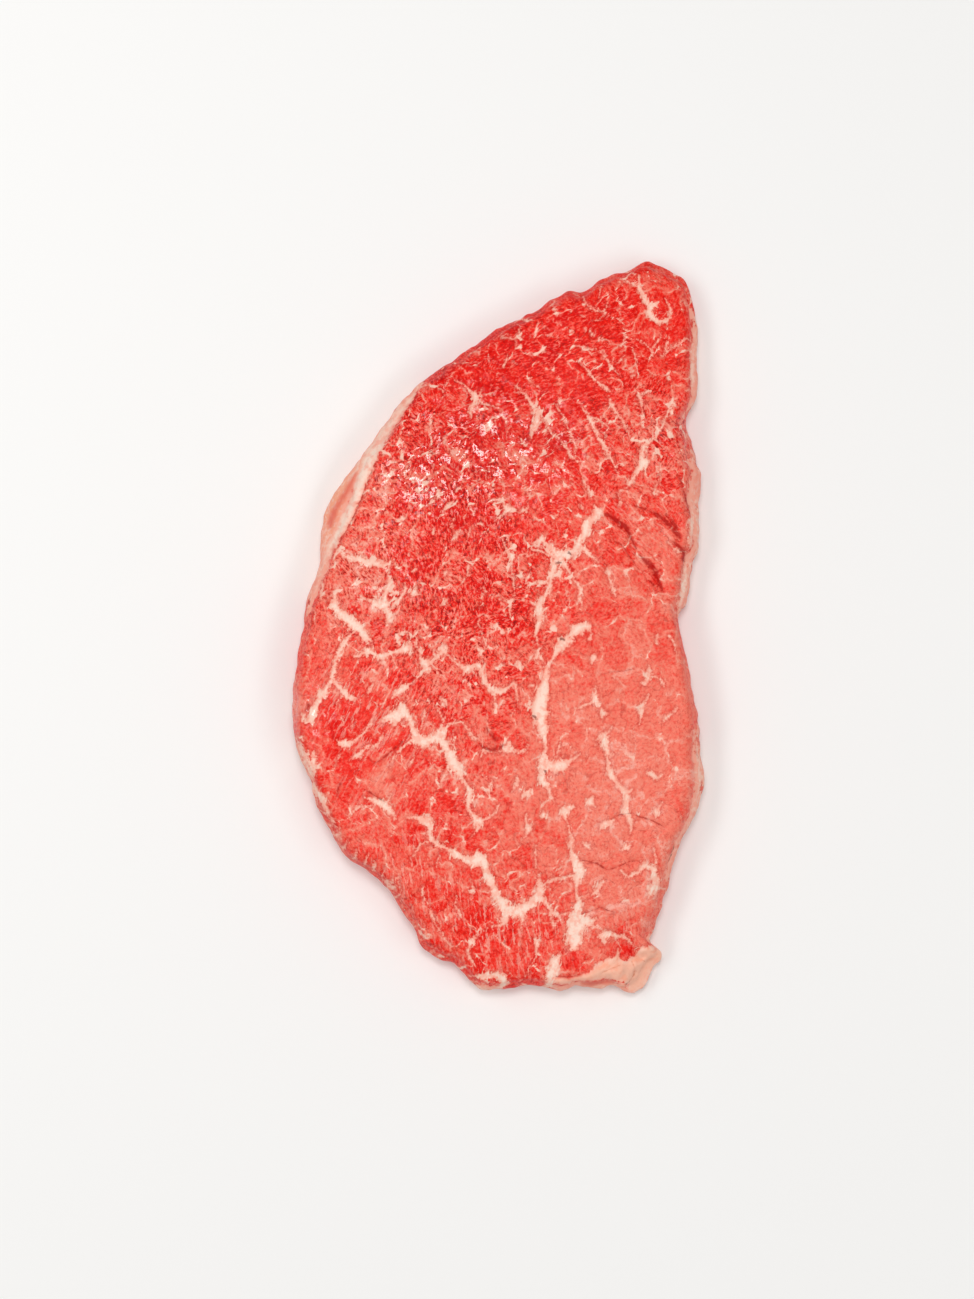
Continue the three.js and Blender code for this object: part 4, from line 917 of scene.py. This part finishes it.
class Nodes:
    """Puts nodes into a tree. Each method adds a node and gives back the socket that it puts out."""

    def __init__(self, tree):
        self.tree = tree

    def add(self, kind, inputs, output=0, **settings):
        node = self.tree.nodes.new(kind)
        for name, value in settings.items():
            setattr(node, name, value)
        for key, value in inputs.items():
            if isinstance(value, bpy.types.NodeSocket):
                self.tree.links.new(value, node.inputs[key])
            else:
                node.inputs[key].default_value = value
        return node.outputs[output]

    def math(self, operation, *values):
        return self.add("ShaderNodeMath", dict(enumerate(values)), operation=operation)

    def plus(self, first, second):
        return self.math("ADD", first, second)

    def minus(self, first, second):
        return self.math("SUBTRACT", first, second)

    def times(self, first, *others):
        """The product of values."""
        for other in others:
            first = self.math("MULTIPLY", first, other)
        return first

    def vector(self, operation, *values):
        output = "Value" if operation == "LENGTH" else "Vector"
        return self.add("ShaderNodeVectorMath", dict(enumerate(values)), output, operation=operation)

    def scaled(self, vector, by):
        return self.add("ShaderNodeVectorMath", {0: vector, "Scale": by}, operation="SCALE")

    def step(self, value, low, high):
        """A smooth step from 0 at low to 1 at high."""
        turned = low > high
        ends = {"From Min": min(low, high), "From Max": max(low, high)}
        ends |= {"To Min": float(turned), "To Max": float(not turned)}
        return self.add("ShaderNodeMapRange", {"Value": value, **ends}, interpolation_type="SMOOTHSTEP")

    def line(self, value, low, high, to_low, to_high):
        """A straight ramp between two values."""
        ends = {"From Min": low, "From Max": high, "To Min": to_low, "To Max": to_high}
        return self.add("ShaderNodeMapRange", {"Value": value, **ends})

    def mix(self, factor, first, second):
        return self.add("ShaderNodeMix", {0: factor, 6: first, 7: second}, 2, data_type="RGBA")

    def noise(self, vector, scale, detail=2.0, roughness=0.5, output=0):
        inputs = {"Vector": vector, "Scale": scale, "Detail": detail, "Roughness": roughness}
        return self.add("ShaderNodeTexNoise", inputs, output)

    def attribute(self, name, output="Fac"):
        return self.add("ShaderNodeAttribute", {}, output, attribute_name=name)


def colour(red, green, blue):
    """A colour given as it shows on a screen, from 0 to 255, as the linear values that a shader takes."""
    share = np.array([red, green, blue]) / 255
    linear = np.where(share <= 0.04045, share / 12.92, ((share + 0.055) / 1.055) ** 2.4)
    return (*linear.tolist(), 1.0)


# The finish of raw beef: bright red lean in bundles of fibres, with a wet film over it, and fat from white
# at the heart of a seam to orange on the outside. Lengths in the nodes are in millimetres.
MAROON = colour(142, 4, 1)
DEEP_RED = colour(228, 8, 2)
RED = colour(246, 36, 22)
SALMON = colour(248, 128, 106)
PINK = colour(252, 172, 154)
CREAM = colour(253, 202, 182)
IVORY = colour(254, 220, 202)
STREAK_RED = colour(232, 104, 84)
FAT_PINK = colour(252, 170, 148)
FAT_ORANGE = colour(252, 170, 136)
FAT_SHADE = colour(226, 130, 98)
# The last three are painted shade: brown for pits in fat, and two dark reds for creases, crevices, the edge beside fat
# and the dark crinkle strokes; the first of the reds also colours real dark specks. Maroon above also darkens the
# crinkle strokes as painted shade.
PIT_SHADE_BROWN = colour(130, 44, 30)
SPECK_AND_SHADE_RED = colour(196, 24, 16)
CREVICE_SHADE_RED = colour(172, 4, 1)

beef = bpy.data.materials.new("marbled_beef")
beef.use_nodes = True
n = Nodes(beef.node_tree)
shader = beef.node_tree.nodes["Principled BSDF"]


def parts_of(vector):
    """The three numbers of a vector."""
    node = n.tree.nodes.new("ShaderNodeSeparateXYZ")
    n.tree.links.new(vector, node.inputs[0])
    return node.outputs[0], node.outputs[1], node.outputs[2]


spot = n.scaled(n.add("ShaderNodeTexCoord", {}, "Object"), 1 / MM)
column = n.vector("MULTIPLY", spot, (1, 1, 0.35))
LEVEL_PART = (1, 1, 0)


def drift(scale, detail, roughness, size):
    """A random way to move, of about half the size, that changes over the surface."""
    centred = n.vector("SUBTRACT", n.noise(column, scale, detail, roughness, output=1), (0.5, 0.5, 0.5))
    return n.scaled(centred, size)


wander = drift(0.33, 2, 0.5, 1.6)
shiver = drift(1.0, 3, 0.6, 1.2)
stray = n.vector("MULTIPLY", n.vector("ADD", wander, shiver), LEVEL_PART)
blotch = n.noise(column, 0.5, 2)
patch = n.noise(column, 0.16, 2)


def drawn_depth(name, thickness, straying, beyond=0.6):
    """How deep inside a drawn stroke a place lies: half the stroke's width less the distance to its middle line.
    The stroke may reach a little beyond its drawn edge."""
    drawn = n.attribute(name, "Vector")
    away = n.vector("LENGTH", n.vector("ADD", n.vector("MULTIPLY", drawn, LEVEL_PART), n.scaled(stray, straying)))
    inside = n.minus(n.math("MULTIPLY_ADD", parts_of(drawn)[2], thickness, -0.1), away)
    return n.math("MINIMUM", inside, n.minus(beyond, n.attribute(name + "_gap")))


bundle = n.attribute("bundle", "Vector")
edge_lot, corner_lot, bundle_lot = parts_of(n.attribute("lots", "Vector"))
to_edge = n.vector("LENGTH", n.vector("MULTIPLY", n.vector("ADD", bundle, shiver), LEVEL_PART))
to_edge = n.math("MAXIMUM", to_edge, n.minus(parts_of(bundle)[2], 0.7))
at_corner = n.math("POWER", n.step(n.attribute("next_edge"), 2.0, 0.1), 1.6)
ragged_here = n.attribute("ragged")
seam_wide = n.step(parts_of(n.attribute("seam", "Vector"))[2], 0.7, 2.4)
near_seam = n.times(n.step(n.attribute("seam_gap"), 2.6, 0.0), n.times(seam_wide, ragged_here))


def turned_by(angle):
    """The place, turned about the upright axis, so that fibres at an angle in the cut lie along x."""
    return n.add("ShaderNodeVectorRotate", {"Vector": spot, "Axis": (0, 0, 1), "Angle": angle})


def fibre_noise(angle, along, across):
    """Noise drawn out along fibres that lie at an angle in the cut, with so many streaks to a millimetre each way."""
    drawn_out = n.vector("MULTIPLY", n.vector("ADD", turned_by(angle), n.scaled(shiver, 0.7)), (along, across, 0.5))
    return n.noise(drawn_out, 1.0, 3, 0.6)


# Seams of fat, frayed by whiskers at one angle in degrees, and creases.
WHISKERS = 76
whisker = n.step(fibre_noise(-math.radians(WHISKERS), 0.3, 1.3), 0.5, 0.68)
fray = n.line(n.noise(column, 1.5, 3, 0.65), 0.25, 0.75, -0.9, 0.7)
fray = n.times(n.plus(fray, n.times(whisker, n.line(seam_wide, 0, 1, 0.5, 1.6))), ragged_here)
seam_reach = n.line(n.times(ragged_here, seam_wide), 0.1, 0.9, 0.3, 1.5)
seam_depth = drawn_depth("seam", n.line(blotch, 0.3, 0.7, 0.4, 0.7), n.line(ragged_here, 0, 1, 0.15, 0.75), seam_reach)
seam_depth = n.plus(seam_depth, n.times(fray, n.line(seam_wide, 0, 1, 0.55, 0.8)))
seam_depth = n.plus(seam_depth, n.line(n.times(at_corner, near_seam), 0, 1, -0.04, 0.4))
seam_fat = n.step(seam_depth, -0.34, 0.36)
crease_depth = drawn_depth("crease", n.line(n.noise(column, 0.8, 2), 0.35, 0.65, 0.25, 0.8), 0.45)
# This mask marks the core of each crease, where painted shade darkens the colour.
crease_shade = n.step(crease_depth, -0.18, 0.32)


def total_of(start, products):
    """A value with the products of pairs of values added to it."""
    for first, second in products:
        start = n.plus(start, n.times(first, second))
    return start


def layered(paint, layers):
    """Colours laid over one another. Each layer is a mask, its strength and its colour."""
    for mask, strength, over in layers:
        paint = n.mix(n.times(mask, strength), paint, over)
    return paint


# Thin threads of fat, and painted shade darkening the crevices along the edges of bundles, with stars of fat at their
# corners.
cloud = n.noise(column, 0.26, 4, 0.62)
broken = n.noise(column, 0.5, 2, 0.5)
grain = n.noise(column, 1.15, 3, 0.62)
crinkled_here = n.attribute("crinkled")
threads = n.times(n.step(edge_lot, 0.22, 0.68), n.step(broken, 0.37, 0.55))
stars = n.times(at_corner, n.step(corner_lot, 0.35, 0.85), n.line(crinkled_here, 0.2, 0.8, 0.6, 1.3))
vein_half = total_of(n.times(threads, n.line(crinkled_here, 0.1, 0.5, 0.22, 0.4)), [
    (stars, 0.42), (n.times(near_seam, n.step(edge_lot, 0.2, 0.9)), 0.35),
])
vein_depth = n.minus(vein_half, to_edge)
vein = n.step(vein_depth, -0.1, 0.3)
halo = n.times(n.step(to_edge, 1.5, 0.0), n.step(edge_lot, 0.35, 0.75))
open_edge = n.times(n.step(edge_lot, 0.48, 0.27), n.step(broken, 0.6, 0.45))
# Painted shade: this mask darkens the lean in the crevices along some bundle edges.
crevice_shade = n.times(n.step(to_edge, 0.42, 0.08), n.times(open_edge, n.line(crinkled_here, 0.1, 0.7, 0.5, 1.0)))

# Short strokes of fibre inside each bundle, and long streaks where the fibres lie along the cut. The dark strokes are
# partly painted shade in the crinkles, the pale ones partly painted highlights of the wet film on them.
lies_here = parts_of(n.attribute("lies", "Vector"))
others = n.minus(1.0, n.plus(n.plus(lies_here[0], lies_here[1]), lies_here[2]))
strokes = total_of(0.0, [
    (fibre_noise(-math.radians(angle), 0.75, 1.7), here)
    for angle, here in zip((*FIBRES, ACROSS_SLICE), (*lies_here, others))
])
patchy = n.times(n.plus(patch, corner_lot), 0.5)
stroke_strength = n.times(n.line(crinkled_here, 0.2, 0.8, 0.3, 1.0), n.line(patchy, 0.3, 0.6, 0.5, 1.0))
# Dark strokes: partly painted shade in the crinkles. Pale strokes: partly painted highlights of the wet crinkles.
dark_stroke_and_shade = n.times(n.step(strokes, 0.455, 0.395), stroke_strength)
pale_stroke_and_glint = n.times(n.step(strokes, 0.54, 0.6), stroke_strength)
speck = n.step(n.noise(column, 0.9, 4, 0.8), 0.46, 0.36)
pale_streak, dark_streak = 0.0, 0.0
for angle, here in zip(FIBRES, parts_of(n.attribute("fibres", "Vector"))):
    strand = fibre_noise(-math.radians(angle), 0.2, 1.15)
    pale_streak = n.math("MAXIMUM", pale_streak, n.times(n.step(strand, 0.55, 0.61), here))
    dark_streak = n.math("MAXIMUM", dark_streak, n.times(n.step(strand, 0.46, 0.34), here))

# The skin of fat on the wall, with a ragged border.
below = n.attribute("below_edge")
rind = n.noise(spot, 0.14, 3, 0.6)
rind_fine = n.noise(spot, 0.6, 3, 0.6)
covered = n.plus(n.attribute("cover"), n.line(rind, 0.3, 0.7, -0.45, 0.45))
covered = n.plus(covered, n.plus(n.line(rind_fine, 0.3, 0.7, -0.18, 0.18), n.line(below, 0, 16, 0.1, -0.15)))
skin_start = n.plus(below, n.line(rind_fine, 0.3, 0.7, -0.8, 0.8))
skin = n.times(n.step(skin_start, -0.3, 0.5), n.step(covered, 0.42, 0.6))
bare_skin = n.times(skin, n.step(below, 0.5, 2.5))

# The colour of the lean: from deep red to pink by its tone, whose pale patches include painted glints of the wet film,
# then what is laid over it.
tone = total_of(n.attribute("paleness_and_glints"), [
    (n.line(bundle_lot, 0, 1, -0.22, 0.22), n.line(crinkled_here, 0, 0.6, 0.4, 1.0)),
    (n.line(cloud, 0.25, 0.75, -0.42, 0.42), n.line(crinkled_here, 0.1, 0.8, 0.25, 1.0)),
    (halo, 0.36),
    (near_seam, n.line(whisker, 0, 1, 0.2, 0.75)),
    (n.line(grain, 0.3, 0.7, -0.5, 0.5), n.line(crinkled_here, 0, 1, 0.4, 1.0)),
])
lean = n.mix(n.step(tone, -0.25, 0.3), DEEP_RED, RED)
lean = n.mix(n.step(tone, 0.15, 0.95), lean, SALMON)
lean = n.mix(n.step(tone, 0.85, 1.5), lean, PINK)
# Painted shade: a thin dark edge on the lean just beside the fat, as where the fat stands proud.
shade_beside_fat = n.times(n.step(seam_depth, -0.95, -0.4), n.step(seam_depth, 0.1, -0.3))
crease_wide = n.line(parts_of(n.attribute("crease", "Vector"))[2], 0.5, 1.1, 0.12, 0.6)
lean = layered(lean, [
    (pale_stroke_and_glint, 0.55, PINK),
    (dark_streak, 0.6, RED),
    (pale_streak, 0.75, PINK),
    (speck, 0.4, SPECK_AND_SHADE_RED),
    (crevice_shade, 0.66, CREVICE_SHADE_RED),
    (dark_stroke_and_shade, 0.9, n.mix(n.step(tone, 0.8, 0.3), SPECK_AND_SHADE_RED, MAROON)),
    (shade_beside_fat, 0.3, SPECK_AND_SHADE_RED),
    # Painted shade along the creases: a soft darker band about each, then a darker core.
    (n.step(crease_depth, -0.8, 0.0), crease_wide, SPECK_AND_SHADE_RED),
    (crease_shade, 0.7, CREVICE_SHADE_RED),
])

# The colour of the fat: whiter towards the heart of a seam, orange on the flap and the cap, mottled on the wall.
orange_here = n.attribute("orange")
fat_depth = n.math("MAXIMUM", seam_depth, n.times(vein_depth, 2.0))
fat_colour = n.mix(n.step(fat_depth, 0.0, 0.9), FAT_PINK, CREAM)
fat_colour = n.mix(n.step(seam_depth, 0.7, 1.7), fat_colour, IVORY)
fat_colour = layered(fat_colour, [
    (n.step(blotch, 0.5, 0.34), 0.6, FAT_PINK),
    (orange_here, n.line(seam_fat, 0, 1, 0.95, 0.65), FAT_ORANGE),
    (n.step(grain, 0.46, 0.32), 0.35, FAT_PINK),
    (bare_skin, n.step(rind_fine, 0.46, 0.64), CREAM),
    (bare_skin, n.line(rind, 0.45, 0.65, 0.0, 0.45), SALMON),
])
vein_fat = n.times(vein, n.line(stars, 0, 0.5, 0.52, 1.0))
fat = n.math("MAXIMUM", seam_fat, n.math("MAXIMUM", vein_fat, skin))
surface = layered(n.mix(fat, lean, fat_colour), [
    (n.attribute("streak"), 0.85, STREAK_RED),
    # Painted shade where crease strokes cross fat: brown in the pits of the seams, fat shade in the folds of the flap
    # and cap.
    (n.times(crease_shade, fat), 0.8, n.mix(orange_here, PIT_SHADE_BROWN, FAT_SHADE)),
])
n.tree.links.new(surface, shader.inputs["Base Color"])

# The wet film in glinting spots, and the fine relief, in millimetres.
wet = n.attribute("wetness")
sparkle = n.noise(column, 1.8, 2, 0.5)
film = n.times(n.line(wet, 0, 1, 0.0, 0.95), n.step(sparkle, 0.41, 0.52))
n.tree.links.new(film, shader.inputs["Coat Weight"])
shader.inputs["Coat Roughness"].default_value = 0.1
shader.inputs["Specular IOR Level"].default_value = 0.1
n.tree.links.new(n.line(fat, 0, 1, 0.45, 0.5), shader.inputs["Roughness"])

height = total_of(n.times(n.step(to_edge, 0.0, 1.2), 0.03), [
    (grain, n.line(wet, 0, 1, 0.1, 0.3)),
    (sparkle, n.times(wet, 0.3)),
    (n.times(strokes, stroke_strength), 0.25),
    (seam_fat, -0.05),
    (n.times(rind_fine, bare_skin), 0.4),
    (crease_shade, -0.12),
])
bump = n.add("ShaderNodeBump", {"Height": height, "Strength": 1.0, "Distance": MM})
n.tree.links.new(bump, shader.inputs["Normal"])

mesh.materials.append(beef)
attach(slice_piece, "root")
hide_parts("topside_slice")

# The stage: a plain pale floor under the slice.
FLOOR_HALF = 3.0
FLOOR_WHITE = colour(246, 245, 243)
floor_mesh = bpy.data.meshes.new("floor")
floor_corners = [(x * FLOOR_HALF, y * FLOOR_HALF, 0) for x, y in ((-1, -1), (1, -1), (1, 1), (-1, 1))]
floor_mesh.from_pydata(floor_corners, [], [(0, 1, 2, 3)])
floor = bpy.data.objects.new("floor", floor_mesh)
floor_paint = bpy.data.materials.new("floor_paint")
floor_paint.use_nodes = True
floor_shader = floor_paint.node_tree.nodes["Principled BSDF"]
floor_shader.inputs["Base Color"].default_value = FLOOR_WHITE
floor_shader.inputs["Roughness"].default_value = 0.9
floor_mesh.materials.append(floor_paint)
bpy.context.scene.collection.objects.link(floor)

# Soft studio light: a pale room, a wide panel on either side, and one small panel overhead that the wet film mirrors.
ROOM_LIGHT = 0.36
room = bpy.data.worlds.new("room")
room.use_nodes = True
room.node_tree.nodes["Background"].inputs["Color"].default_value = (1, 1, 1, 1)
room.node_tree.nodes["Background"].inputs["Strength"].default_value = ROOM_LIGHT
bpy.context.scene.world = room


def light_panel(name, place, aim, size, power):
    """A square panel of light at a place in metres, turned to face its aim."""
    panel = bpy.data.lights.new(name, "AREA")
    panel.size = size
    panel.energy = power
    lamp = bpy.data.objects.new(name, panel)
    lamp.location = place
    towards = np.array(aim) - np.array(place)
    tilt = math.acos(-towards[2] / np.linalg.norm(towards))
    lamp.rotation_euler = (tilt, 0, math.atan2(towards[0], -towards[1]))
    bpy.context.scene.collection.objects.link(lamp)


light_panel("left_panel", (-1.0, 0.1, 1.4), (0, 0, 0), 1.2, 19.2)
light_panel("right_panel", (0.85, -0.5, 1.4), (0, 0, 0), 1.2, 13)
light_panel("mirrored_panel", (-0.012, 0.2, 1.1), (0, 0, 0), 0.28, 4.2)

# The camera, at the place that the marbling is seen from.
FRAME_HEIGHT = 389.7
lens = bpy.data.cameras.new("camera")
lens.sensor_width = 36
lens.lens = lens.sensor_width * CAMERA_DISTANCE / FRAME_HEIGHT
camera = bpy.data.objects.new("camera", lens)
camera.location = CAMERA_PLACE * MM
camera.rotation_euler = (CAMERA_TILT, 0, 0)
bpy.context.scene.collection.objects.link(camera)
bpy.context.scene.camera = camera
bpy.context.scene.view_settings.view_transform = "Standard"
